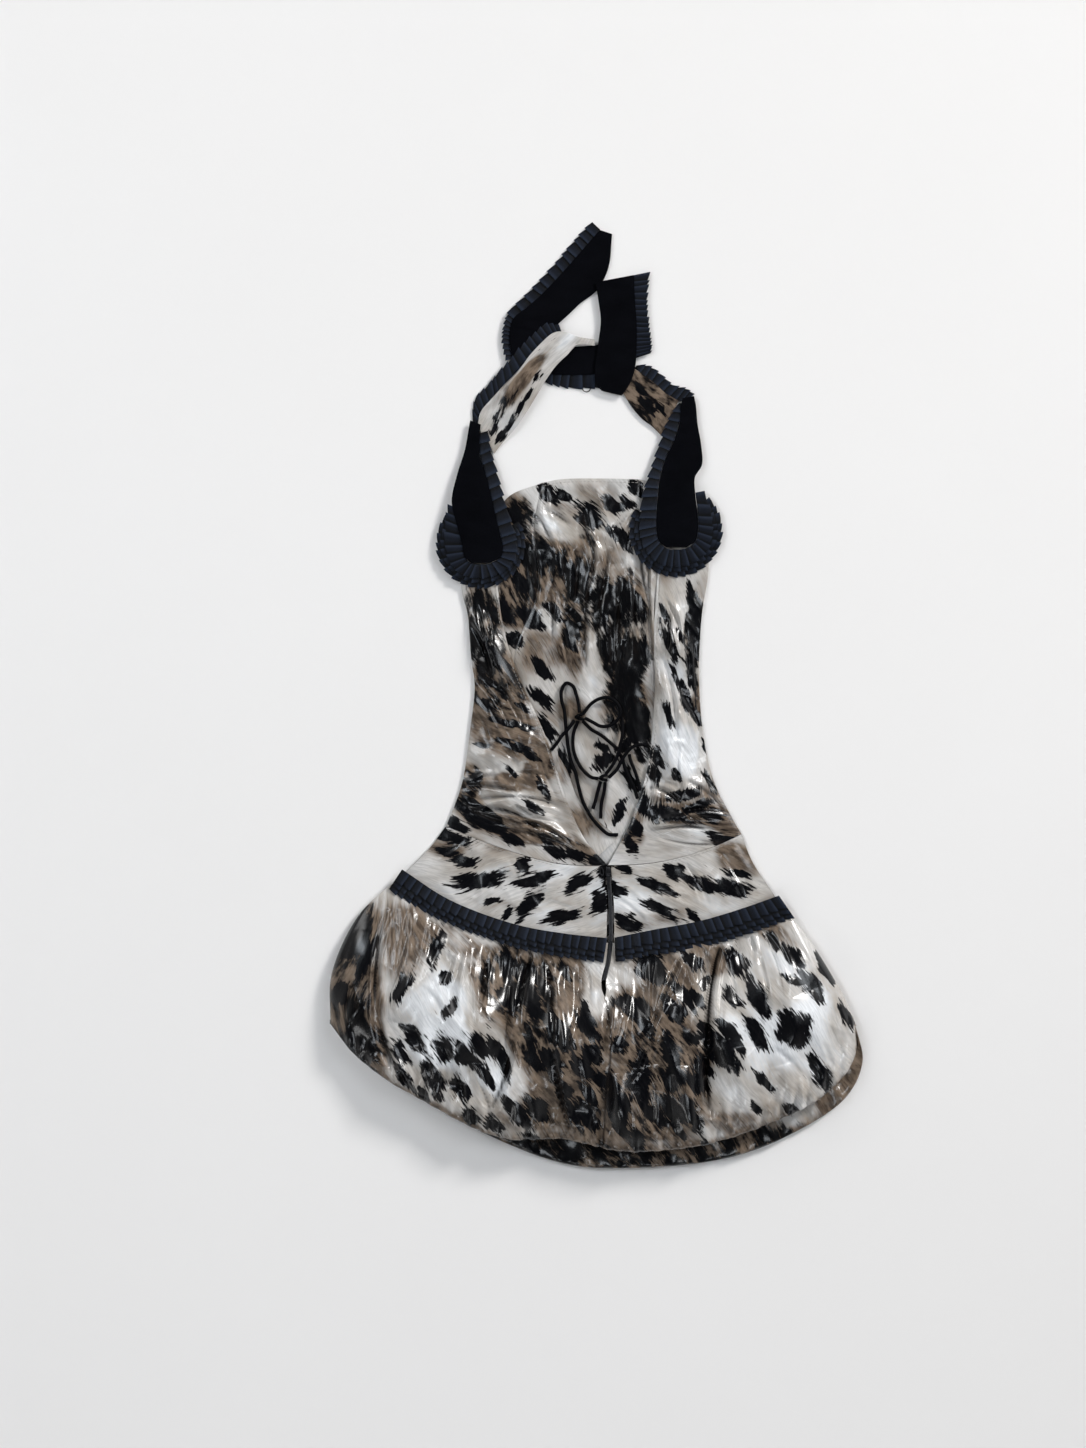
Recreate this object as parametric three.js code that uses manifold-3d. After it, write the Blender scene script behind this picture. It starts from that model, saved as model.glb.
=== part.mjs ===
// A halter dress laid flat on a surface with its back up, in millimetres.
// +X points to the wearer's right, +Y to the neck and +Z up, away from the surface.
// Every panel is a cloth wall made from its edges in plan and its height above the surface.
import * as THREE from "three";
import { mergeVertices } from "three/addons/utils/BufferGeometryUtils.js";
import Module from "manifold-3d";

// ---- driving dimensions ----
const CLOTH = 1.5; // wall of the satin panels with their backing
const SEAM = 0.3; // clearance between pieces that are sewn together
const FACE = 1.0; // one face of a strap: velvet, or its satin lining
const RIBBON = 0.8; // pleated ribbon, one thickness
const LAP = 0.5; // how far each pleat stands over the next
const PLEAT = 9.6; // pitch of the pleats
const PUFF = 44; // rise of the bubble skirt above its side seams
const RISE = 4; // rise of the bodice and yoke above theirs
const BODICE_SIDE = 3.3; // top of the back pieces at the bodice side seams
const HIP_SIDE = 5.2; // the same at the hips, over the ribbons folded under
const SKIRT_SIDE = 8.2; // the same down the skirt
const BACK_HEM = { side: 3, middle: 7, turn: 22, lift: 6 }; // radii and turned-in width of the bubble hem
const FRONT_HEM = { side: 2.2, middle: 5, turn: 28 };
const HIP_RIBBONS = [15.5, 22, 28.5]; // widths of the three ribbons round the hips, top one first
const HIP_SEAM = 6; // the yoke and skirt are joined this far below the ribbons' top edge
const ZIP = { width: 4.6, depth: 1.6, slot: 3.4 };
const LACE = 3.6; // diameter of the rouleau lacing

const LOOK = {
  print: { color: 0x9b9084, roughness: 0.35 },
  velvet: { color: 0x07080c, roughness: 0.95 },
  ribbon: { color: 0x161d2c, roughness: 0.6 },
  lace: { color: 0x0b0c12, roughness: 0.5 },
  zip: { color: 0x0c0d12, roughness: 0.5 },
  metal: { color: 0x23252b, roughness: 0.35, metalness: 0.8 },
};

const dress = new THREE.Group();
const laceNames = new Set();
const { lerp, smoothstep } = THREE.MathUtils;
const vec = (x, y, z = 0) => new THREE.Vector3(x, y, z);

function addMesh(name, geometry, look) {
  const mesh = new THREE.Mesh(geometry, new THREE.MeshStandardMaterial(LOOK[look]));
  mesh.name = name;
  dress.add(mesh);
  return mesh;
}

// ---- plan curves ----
// A smooth curve through [x, y] or [x, y, z] points.
const through = (points) =>
  new THREE.CatmullRomCurve3(points.map((p) => vec(...p)), false, "centripetal");

// The same as a function of the share of its length, between two shares.
function edge(points, from = 0, to = 1) {
  const curve = through(points);
  return (t) => curve.getPointAt(lerp(from, to, t));
}

// The share of a left-to-right edge's length at which it passes x.
function shareAt(points, x) {
  const curve = through(points);
  let [low, high] = [0, 1];
  for (let i = 0; i < 30; i++) {
    const middle = (low + high) / 2;
    if (curve.getPointAt(middle).x < x) low = middle;
    else high = middle;
  }
  return low;
}

// A panel's plan between four edges that share corners: top and bottom run left to right, sides top to bottom.
function plan({ top, bottom, left, right }) {
  const corners = [top(0), top(1), bottom(0), bottom(1)];
  return (u, v) => {
    const across = top(u).multiplyScalar(1 - v).addScaledVector(bottom(u), v);
    const down = left(v).multiplyScalar(1 - u).addScaledVector(right(v), u);
    return across
      .add(down)
      .addScaledVector(corners[0], -(1 - u) * (1 - v))
      .addScaledVector(corners[1], -u * (1 - v))
      .addScaledVector(corners[2], -(1 - u) * v)
      .addScaledVector(corners[3], -u * v);
  };
}

// ---- cloth ----
// A closed wall: the grid is its outer face, and the inner face lies one thickness behind it.
// The thickness is a number, or a function of the point where a fold stands on the wall.
function clothWall(name, grid, thickness, look, outward = vec(0, 0, 1)) {
  const rows = grid.length;
  const cols = grid[0].length;
  const clampRow = (i) => Math.min(Math.max(i, 0), rows - 1);
  const clampCol = (j) => Math.min(Math.max(j, 0), cols - 1);
  const normals = grid.map((row, i) =>
    row.map((_, j) => {
      const down = grid[clampRow(i + 1)][j].clone().sub(grid[clampRow(i - 1)][j]);
      const across = row[clampCol(j + 1)].clone().sub(row[clampCol(j - 1)]);
      return across.cross(down).normalize();
    }),
  );
  const probe = normals[Math.floor(rows / 4)][Math.floor(cols / 2)];
  const sign = Math.sign(probe.dot(outward));
  const thick = typeof thickness === "function" ? thickness : () => thickness;
  const points = [];
  for (const side of [0, 1])
    for (let i = 0; i < rows; i++)
      for (let j = 0; j < cols; j++) {
        const p = grid[i][j];
        points.push(p.clone().addScaledVector(normals[i][j], -sign * side * thick(p)));
      }
  const at = (side, i, j) => side * rows * cols + i * cols + j;
  const quads = [];
  for (let i = 0; i < rows - 1; i++)
    for (let j = 0; j < cols - 1; j++) {
      quads.push([at(0, i, j), at(0, i + 1, j), at(0, i + 1, j + 1), at(0, i, j + 1)]);
      quads.push([at(1, i, j), at(1, i, j + 1), at(1, i + 1, j + 1), at(1, i + 1, j)]);
    }
  for (let j = 0; j < cols - 1; j++) {
    quads.push([at(0, 0, j), at(0, 0, j + 1), at(1, 0, j + 1), at(1, 0, j)]);
    quads.push([at(0, rows - 1, j), at(1, rows - 1, j), at(1, rows - 1, j + 1), at(0, rows - 1, j + 1)]);
  }
  for (let i = 0; i < rows - 1; i++) {
    quads.push([at(0, i, 0), at(1, i, 0), at(1, i + 1, 0), at(0, i + 1, 0)]);
    quads.push([at(0, i, cols - 1), at(0, i + 1, cols - 1), at(1, i + 1, cols - 1), at(1, i, cols - 1)]);
  }
  const triangles = quads.flatMap(([a, b, c, d]) => [a, b, c, a, c, d]);
  return addMesh(name, solidFrom(points, triangles), look);
}

// An indexed geometry with its faces turned outwards.
function solidFrom(points, triangles) {
  let volume = 0;
  for (let i = 0; i < triangles.length; i += 3) {
    const [a, b, c] = [0, 1, 2].map((k) => points[triangles[i + k]]);
    volume += a.dot(b.clone().cross(c));
  }
  const turned = volume < 0 ? [...triangles].reverse() : triangles;
  return new THREE.BufferGeometry()
    .setAttribute("position", new THREE.Float32BufferAttribute(points.flatMap((p) => [p.x, p.y, p.z]), 3))
    .setIndex(turned);
}

// Evenly spaced shares, inset at both ends by a seam allowance on a piece of this length.
function shares(count, length, inset = [SEAM / 2, SEAM / 2]) {
  const [low, high] = [inset[0] / length, 1 - inset[1] / length];
  return Array.from({ length: count + 1 }, (_, i) => lerp(low, high, i / count));
}

// A grid over a plan, with a height for each share across and down.
const gridOver = (where, us, vs, height) =>
  vs.map((v) =>
    us.map((u) => {
      const p = where(u, v);
      p.z = height(u, v, p);
      return p;
    }),
  );

// ---- folds ----
// Each fold is a soft ridge, or a trough where its height is negative, along a line bowed sideways.
function foldHeight(folds, p) {
  let sum = 0;
  for (const { x0, y0, x1, y1, bow, width, height } of folds) {
    const [start, end] = [vec(x0, y0), vec(x1, y1)];
    const side = vec(y0 - y1, x1 - x0).normalize();
    const middle = start.clone().lerp(end, 0.5).addScaledVector(side, bow);
    let best = { distance: Infinity, along: 0 };
    [[start, middle, 0], [middle, end, 0.5]].forEach(([from, to, base]) => {
      const run = to.clone().sub(from);
      const rel = vec(p.x, p.y).sub(from);
      const t = THREE.MathUtils.clamp(rel.dot(run) / run.lengthSq(), 0, 1);
      const distance = rel.addScaledVector(run, -t).length();
      if (distance < best.distance) best = { distance, along: base + t / 2 };
    });
    const fade = Math.sqrt(Math.max(Math.sin(Math.PI * best.along), 0));
    sum += height * fade * Math.exp(-((best.distance / width) ** 2));
  }
  return sum;
}

const FRONT_FOLDS = [
  { x0: -7, y0: 188, x1: -18, y1: 80, bow: 6, width: 11, height: 1.4 },
  { x0: 18, y0: 150, x1: 8, y1: 10, bow: 0, width: 11, height: 1.2 },
  { x0: -40, y0: 170, x1: -34, y1: 40, bow: 8, width: 12, height: 1.3 },
];
const WING_FOLDS = [
  { x0: -140, y0: 100, x1: -90, y1: -10, bow: 10, width: 10, height: 2 },
  { x0: -138, y0: 20, x1: -72, y1: -90, bow: 8, width: 12, height: 2.2 },
  { x0: -150, y0: -95, x1: -50, y1: -150, bow: 6, width: 11, height: 2.4 },
  { x0: 80, y0: 120, x1: 104, y1: 10, bow: -6, width: 9, height: 2 },
  { x0: 74, y0: 40, x1: 96, y1: -95, bow: -5, width: 11, height: 2.2 },
  { x0: 60, y0: -140, x1: 148, y1: -150, bow: -7, width: 11, height: 2.2 },
];
const SKIRT_FOLDS = [
  { x0: -230, y0: -245, x1: -228, y1: -440, bow: -18, width: 13, height: -5 },
  { x0: -186, y0: -262, x1: -228, y1: -372, bow: 5, width: 14, height: 4 },
  { x0: -150, y0: -282, x1: -172, y1: -440, bow: 8, width: 17, height: 4 },
  { x0: -75, y0: -300, x1: -118, y1: -470, bow: -6, width: 13, height: -5 },
  { x0: -56, y0: -310, x1: -34, y1: -498, bow: 8, width: 12, height: 3.5 },
  { x0: 16, y0: -330, x1: 10, y1: -500, bow: 0, width: 12, height: -3 },
  { x0: 96, y0: -300, x1: 44, y1: -425, bow: -5, width: 14, height: 4 },
  { x0: 143, y0: -290, x1: 128, y1: -482, bow: -9, width: 13, height: -6 },
  { x0: 194, y0: -275, x1: 226, y1: -400, bow: 8, width: 15, height: 4 },
];

// ---- edges in plan ----
const WAIST = [
  [-172, -151], [-110, -175], [-45, -193], [14, -195.5], [76, -191], [136, -174], [168, -160],
];
const HIP = [
  [-222, -207], [-169, -241], [-92, -269], [17, -284], [120, -265], [168, -251], [209, -236],
];
const SIDE = {
  bodiceLeft: [
    [-150, 172], [-154, 122], [-147, 92], [-143, 43], [-139, 10], [-144, -38], [-154, -103], [-172, -151],
  ],
  bodiceRight: [
    [126, 195], [130, 147], [122, 89], [119, 21], [124, -46], [136, -99], [158, -143], [168, -160],
  ],
  yokeLeft: [[-172, -151], [-191, -176], [-222, -207]],
  yokeRight: [[168, -160], [179, -189], [209, -236]],
  skirtLeft: [[-222, -207], [-272, -253], [-303, -321], [-304, -378]],
  skirtRight: [[209, -236], [248, -285], [288, -353], [298, -380]],
};
const WING_INNER = {
  left: [
    [-114, 172], [-112, 123], [-104, 70], [-88, 22], [-57, -48], [-34, -118], [-11, -167], [14, -195.5],
  ],
  right: [
    [78, 195], [71, 136], [67, 66], [68, 9], [59, -86], [37, -152], [14, -195.5],
  ],
};
const PRINCESS = {
  left: [[-61, 244], [-70, 195], [-66, 121], [-93, 45], [-86, -80], [-84, -184]],
  right: [[51, 248], [60, 190], [62, 100], [72, -20], [80, -190.3]],
};
const NECKLINE = {
  left: [[-150, 172], [-124, 192], [-100, 228], [-61, 244]],
  centre: [[-61, 244], [-41, 248], [5, 249], [51, 248]],
  right: [[51, 248], [84, 240], [104, 218], [126, 195]],
};
const BACK_HEM_LINE = [
  [-304, -378], [-269, -418], [-200, -462], [-110, -505], [-34, -508], [30, -521], [111, -516], [187, -494],
  [262, -456], [296, -415], [298, -380],
];
const FRONT_HEM_LINE = [
  [-304, -378], [-269, -418], [-200, -462], [-119, -508], [-34, -539], [30, -544], [147, -533], [220, -507],
  [288, -462], [307, -420], [298, -380],
];
const ZIP_LINE = [[14, -196], [17, -240], [17, -284], [14, -307], [9, -328]];
const CENTRE_SEAM = [[9, -328], [17, -389], [12, -450], [7, -514]];

// ---- heights of the outer faces ----
const hump = (u) => 1 - Math.abs(u) ** 3; // 0 at a side seam, 1 at the centre back
const yokeHeight = (u, v) => lerp(BODICE_SIDE, HIP_SIDE, smoothstep(v, 0.3, 0.7)) + RISE * hump(u);

// How the bubble skirt's back rises from the hip seam to its crown and falls to the hem.
const SKIRT_RISE = through([
  [0, 0], [0.1, 0.2], [0.2, 0.42], [0.35, 0.75], [0.5, 0.95], [0.65, 1], [0.8, 0.92], [0.9, 0.76], [1, 0.45],
]);
function skirtHeight(u, v) {
  const base = lerp(HIP_SIDE + RISE * hump(u), SKIRT_SIDE, smoothstep(v, 0, 0.3));
  const crown = PUFF * Math.sqrt(1 - Math.abs(u) ** 2.6);
  return base + SKIRT_RISE.getPoint(v).y * crown + BACK_HEM.lift * smoothstep(v, 0.86, 0.965);
}
const hemRadius = (hem, u) => lerp(hem.middle, hem.side, u * u);

// ---- front, lying on the surface ----
function makeFront() {
  const down = vec(0, 0, -1);
  const flat = () => 0;
  const thickness = (p) => CLOTH + foldHeight(FRONT_FOLDS, p);
  const [leftShare, rightShare] = [PRINCESS.left, PRINCESS.right].map((seam) =>
    shareAt(WAIST, seam.at(-1)[0]),
  );
  const panels = [
    ["front_bodice_side_left", NECKLINE.left, SIDE.bodiceLeft, PRINCESS.left, [0, leftShare], 3],
    ["front_bodice_centre", NECKLINE.centre, PRINCESS.left, PRINCESS.right, [leftShare, rightShare], 7],
    ["front_bodice_side_right", NECKLINE.right, PRINCESS.right, SIDE.bodiceRight, [rightShare, 1], 3],
  ];
  for (const [name, top, left, right, waist, columns] of panels) {
    const where = plan({ top: edge(top), left: edge(left), right: edge(right), bottom: edge(WAIST, ...waist) });
    const grid = gridOver(where, shares(columns, 70), shares(10, 400, [SEAM / 2, 4 * SEAM]), flat);
    clothWall(name, grid, thickness, "print", down);
  }

  const yoke = plan({
    top: edge(WAIST), bottom: edge(HIP), left: edge(SIDE.yokeLeft), right: edge(SIDE.yokeRight),
  });
  const overRibbon = RIBBON + LAP + SEAM;
  const lap = (u, v) => overRibbon * smoothstep(v, 0.5, 0.75);
  clothWall("yoke_front", gridOver(yoke, COLUMNS, shares(4, 85), lap), CLOTH, "print", down);

  const skirt = plan({
    top: edge(HIP), bottom: edge(FRONT_HEM_LINE), left: edge(SIDE.skirtLeft), right: edge(SIDE.skirtRight),
  });
  const height = (u, v) => {
    const side = Math.abs(2 * u - 1) ** 10;
    const curl = 5.8 * smoothstep(v, 0.1, 0.3) * (1 - smoothstep(v, 0.85, 0.95));
    return overRibbon * (1 - smoothstep(v, 0.11, 0.2)) + curl * side;
  };
  const grid = hemmedGrid(skirt, COLUMNS, [0.002, 0.11, 0.2, 0.4, 0.6, 0.8, 1], height, {
    radius: (u) => hemRadius(FRONT_HEM, 2 * u - 1),
    turn: (u) => 2 + FRONT_HEM.turn * (1 - (2 * u - 1) ** 4),
    upwards: true,
  });
  clothWall("skirt_front", grid, CLOTH, "print", down);
}

// Shares across the front, closer together towards the side seams, where the cloth rounds.
const COLUMNS = Array.from({ length: 13 }, (_, i) => (1 + Math.sin((Math.PI / 2) * (i / 6 - 1))) / 2);

// A grid that runs down the panel, round the hem's soft roll and a little way back inside it.
function hemmedGrid(where, us, vs, height, { radius, turn, upwards }) {
  const rollAngles = [45, 90, 135, 180].map(THREE.MathUtils.degToRad);
  const columns = us.map((u) => {
    const hem = where(u, 1);
    const out = hem.clone().sub(where(u, 0.96)).setZ(0).normalize();
    const r = radius(u);
    const reach = hem.distanceTo(where(u, 0));
    const points = vs.map((v) => {
      const p = where(u, v * (1 - r / reach));
      p.z = height(u, v, p);
      return p;
    });
    const last = points.at(-1);
    const side = upwards ? 1 : -1;
    const roll = (angle) =>
      last.clone().addScaledVector(out, r * Math.sin(angle)).add(vec(0, 0, side * r * (1 - Math.cos(angle))));
    points.push(...rollAngles.map(roll));
    const end = points.at(-1);
    for (const share of [0.5, 1]) points.push(end.clone().addScaledVector(out, -share * turn(u)));
    return points;
  });
  return columns[0].map((_, row) => columns.map((column) => column[row]));
}

// ---- back ----
function makeWings() {
  const build = (name, outer, inner, waist, side) => {
    const [left, right] = side < 0 ? [outer, inner] : [inner, outer];
    const where = plan({
      top: edge([left[0], right[0]]),
      bottom: edge(WAIST, ...waist),
      left: edge(left),
      right: edge(right),
    });
    const height = (u, v, p) => {
      const fromSide = side < 0 ? u : 1 - u;
      const roll = 2.2 * fromSide * smoothstep(v, 0.12, 0.25);
      const lift = BODICE_SIDE + roll + 1.3 * smoothstep(fromSide, 0, 0.25) + 4.5 * Math.sin(Math.PI * fromSide) * smoothstep(v, 0.18, 0.38);
      const folds = foldHeight(WING_FOLDS, p) * Math.sin(Math.PI * fromSide) * smoothstep(v, 0.2, 0.3);
      const seam = BODICE_SIDE + RISE * hump(1 - fromSide);
      return lerp(lift + folds, seam, smoothstep(v, 0.8, 1));
    };
    clothWall(name, gridOver(where, shares(7, 75), shares(13, 350), height), CLOTH, "print");
  };
  const centre = shareAt(WAIST, ZIP_LINE[0][0]);
  build("back_wing_left", SIDE.bodiceLeft, WING_INNER.left, [0, centre], -1);
  build("back_wing_right", SIDE.bodiceRight, WING_INNER.right, [centre, 1], 1);

  // The facing turned inside the left wing's curved edge, lying on the front.
  const facing = plan({
    left: edge([[-66, -48], [-46, -118], [-24, -163], [2, -186]]),
    right: edge([[-58, -46], [-33, -86], [-18, -122], [26, -164]]),
    top: edge([[-66, -48], [-58, -46]]),
    bottom: edge([[2, -186], [26, -164]]),
  });
  const height = () => CLOTH + SEAM + FACE;
  clothWall("back_facing_left", gridOver(facing, shares(2, 12), shares(9, 150), height), FACE, "print");
}

function makeYoke() {
  const centre = shareAt(WAIST, ZIP_LINE[0][0]);
  const hipCentre = shareAt(HIP, 17);
  const build = (name, side) => {
    const half = (points, middle) => edge(points, ...(side < 0 ? [0, middle] : [middle, 1]));
    const [top, bottom] = [half(WAIST, centre), half(HIP, hipCentre)];
    const outer = edge(side < 0 ? SIDE.yokeLeft : SIDE.yokeRight);
    const inner = edge(ZIP_LINE.slice(0, 3));
    const where = side < 0 ? plan({ top, bottom, left: outer, right: inner })
      : plan({ top, bottom, left: inner, right: outer });
    const [length, inset] = side < 0 ? [186, [SEAM / 2, ZIP.slot]] : [153, [ZIP.slot, SEAM / 2]];
    const height = (u, v) => yokeHeight(side < 0 ? 1 - u : u, v);
    clothWall(name, gridOver(where, shares(7, length, inset), shares(4, 85), height), CLOTH, "print");
  };
  build("yoke_back_left", -1);
  build("yoke_back_right", 1);
}

function skirtBackPlan(side) {
  const hipCentre = shareAt(HIP, 17);
  const hemCentre = shareAt(BACK_HEM_LINE, CENTRE_SEAM.at(-1)[0]);
  const half = (points, middle) => edge(points, ...(side < 0 ? [0, middle] : [middle, 1]));
  const hemPoint = half(BACK_HEM_LINE, hemCentre)(side < 0 ? 1 : 0);
  const hipPoint = half(HIP, hipCentre)(side < 0 ? 1 : 0);
  const seamPoints = [
    [hipPoint.x, hipPoint.y], ...ZIP_LINE.slice(3), ...CENTRE_SEAM.slice(1, -1), [hemPoint.x, hemPoint.y],
  ];
  const inner = edge(seamPoints);
  const outer = edge(side < 0 ? SIDE.skirtLeft : SIDE.skirtRight);
  return plan({
    top: half(HIP, hipCentre),
    bottom: half(BACK_HEM_LINE, hemCentre),
    left: side < 0 ? outer : inner,
    right: side < 0 ? inner : outer,
  });
}

function makeSkirtBack() {
  const zipEnd = 0.22; // share of the centre seam that the zip takes
  for (const side of [-1, 1]) {
    const where = skirtBackPlan(side);
    // Leaves a slot for the zip at the top of the centre-back seam.
    const atSeam = (u, v) => {
      const p = where(u, v);
      const near = side < 0 ? u : 1 - u;
      const half = lerp(ZIP.slot, SEAM / 2, smoothstep(v, zipEnd, zipEnd + 0.05));
      p.x += side * half * near ** 6;
      return p;
    };
    const height = (u, v, p) => {
      const fade = smoothstep(v, 0.03, 0.22) * (1 - smoothstep(v, 0.8, 1)) * (1 - Math.abs(u) ** 8);
      return skirtHeight(u, v) + foldHeight(SKIRT_FOLDS, p) * fade;
    };
    const fromCentre = Array.from({ length: 12 }, (_, i) => Math.sin((Math.PI / 2) * (i / 11)));
    const us = side < 0 ? fromCentre.map((s) => 1 - s).reverse() : fromCentre;
    const grid = hemmedGrid(
      atSeam, us, [0.001, 0.08, 0.17, 0.26, 0.38, 0.5, 0.62, 0.74, 0.84, 0.92, 0.97, 1],
      (u, v, p) => height(side < 0 ? 1 - u : u, v, p),
      {
        radius: (u) => hemRadius(BACK_HEM, side < 0 ? 1 - u : u),
        turn: (u) => 2 + BACK_HEM.turn * (1 - (side < 0 ? 1 - u : u) ** 4),
        upwards: false,
      },
    );
    clothWall(side < 0 ? "skirt_back_left" : "skirt_back_right", grid, CLOTH, "print");
  }
}

// ---- pleated ribbon ----
// at(t) gives the ribbon's sewn edge and its free edge on its underside; the pleats step up along it.
function pleatedRibbon(name, at, pleats) {
  const points = [];
  const triangles = [];
  const put = (p, up) => points.push(p.clone().add(vec(0, 0, up))) - 1;
  const stations = Array.from({ length: pleats + 1 }, (_, i) => {
    const { sewn, free } = at(i / pleats);
    const level = (up) => [put(sewn, up), put(free, up)];
    const low = i < pleats ? level(RIBBON) : null;
    const high = i > 0 ? level(RIBBON + LAP) : null;
    return { base: level(0), low, high };
  });
  const quad = (a, b, c, d) => triangles.push(a, b, c, a, c, d);
  stations.slice(0, -1).forEach((here, i) => {
    const next = stations[i + 1];
    quad(here.low[0], here.low[1], next.high[1], next.high[0]);
    quad(here.base[1], here.base[0], next.base[0], next.base[1]);
    if (here.high) quad(here.high[0], here.high[1], here.low[1], here.low[0]);
    for (const side of [0, 1]) {
      const round = [here.base[side], here.low[side], next.high[side]];
      if (next.low) round.push(next.low[side]);
      round.push(next.base[side]);
      if (side) round.reverse();
      // A fan from the point that sees every other corner of this stepped side.
      const from = side ? round.length - 2 : 1;
      for (let k = 1; k < round.length - 1; k++)
        triangles.push(...[0, k, k + 1].map((step) => round[(from + step) % round.length]));
    }
  });
  const [first, last] = [stations[0], stations.at(-1)];
  quad(first.base[0], first.base[1], first.low[1], first.low[0]);
  quad(last.base[1], last.base[0], last.high[0], last.high[1]);
  addMesh(name, solidFrom(points, triangles), "ribbon");
}

// Edges from a table with a row per station: sewn edge sx, sy, free edge fx, fy and underside z.
function ribbonFrom(rows) {
  const sewn = through(rows.map((r) => [r.sx, r.sy, r.z]));
  const free = through(rows.map((r) => [r.fx, r.fy, r.z]));
  return (t) => {
    const point = { sewn: sewn.getPoint(t), free: free.getPoint(t) };
    const inwards = point.free.clone().sub(point.sewn).setZ(0).normalize();
    point.sewn.addScaledVector(inwards, SEAM);
    return point;
  };
}

// A ribbon fanned round an arc, from one angle to another, in degrees.
function ribbonArc({ x, y, inner, outer, from, to, z }) {
  return (t) => {
    const angle = THREE.MathUtils.degToRad(lerp(from, to, t));
    const ray = vec(Math.cos(angle), Math.sin(angle));
    const centre = vec(x, y, z);
    return {
      sewn: centre.clone().addScaledVector(ray, inner),
      free: centre.clone().addScaledVector(ray, outer),
    };
  };
}

function makeHipRibbons() {
  const TOP = {
    left: [[-222, -200], [-167, -235], [-91, -263], [-34, -273.5], [13, -278.5]],
    right: [[21.5, -278], [66, -269], [119, -259], [167, -245], [210, -230]],
  };
  const BOTTOM = {
    left: [[-238, -224], [-183, -256], [-108, -285], [-59, -297], [8.5, -307]],
    right: [[22.5, -306.5], [58, -299], [103, -293], [147, -283], [228, -256]],
  };
  const full = HIP_RIBBONS.at(-1);
  for (const hand of ["left", "right"]) {
    const [top, bottom] = [edge(TOP[hand]), edge(BOTTOM[hand])];
    const pleats = Math.round(through(TOP[hand]).getLength() / PLEAT);
    HIP_RIBBONS.forEach((width, layer) => {
      const stack = (HIP_RIBBONS.length - 1 - layer) * (RIBBON + LAP + SEAM);
      const at = (t) => {
        const u = Math.min(hand === "left" ? 1 - t : t, 0.96); // from the centre back to the side seam
        const lift = 2 * SEAM + stack + 0.8 * smoothstep(u, 0.8, 0.96);
        const ends = [yokeHeight(u, 1), skirtHeight(u, (full - HIP_SEAM) / 225) + 0.6];
        const on = (down) => {
          const p = top(t).lerp(bottom(t), down / full);
          p.z = lerp(...ends, down / full) + lift;
          return p;
        };
        return { sewn: on(layer * 1.5), free: on(width) };
      };
      pleatedRibbon(`hip_trim_${hand}_${layer + 1}`, at, pleats);
    });
  }
  // Under the front the ribbons lie pressed flat between the cloth and the surface.
  const line = (left, right) => edge([...left.slice(0, -1), [17, left.at(-1)[1] - 1], ...right.slice(1)]);
  const [top, bottom] = [line(TOP.left, TOP.right), line(BOTTOM.left, BOTTOM.right)];
  const grid = [0.02, 0.98].map((down) =>
    shares(14, 460, [6, 6]).map((u) => top(u).lerp(bottom(u), down).setZ(0)),
  );
  clothWall("hip_trim_front", grid, RIBBON + LAP, "ribbon", vec(0, 0, -1));
}

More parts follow.
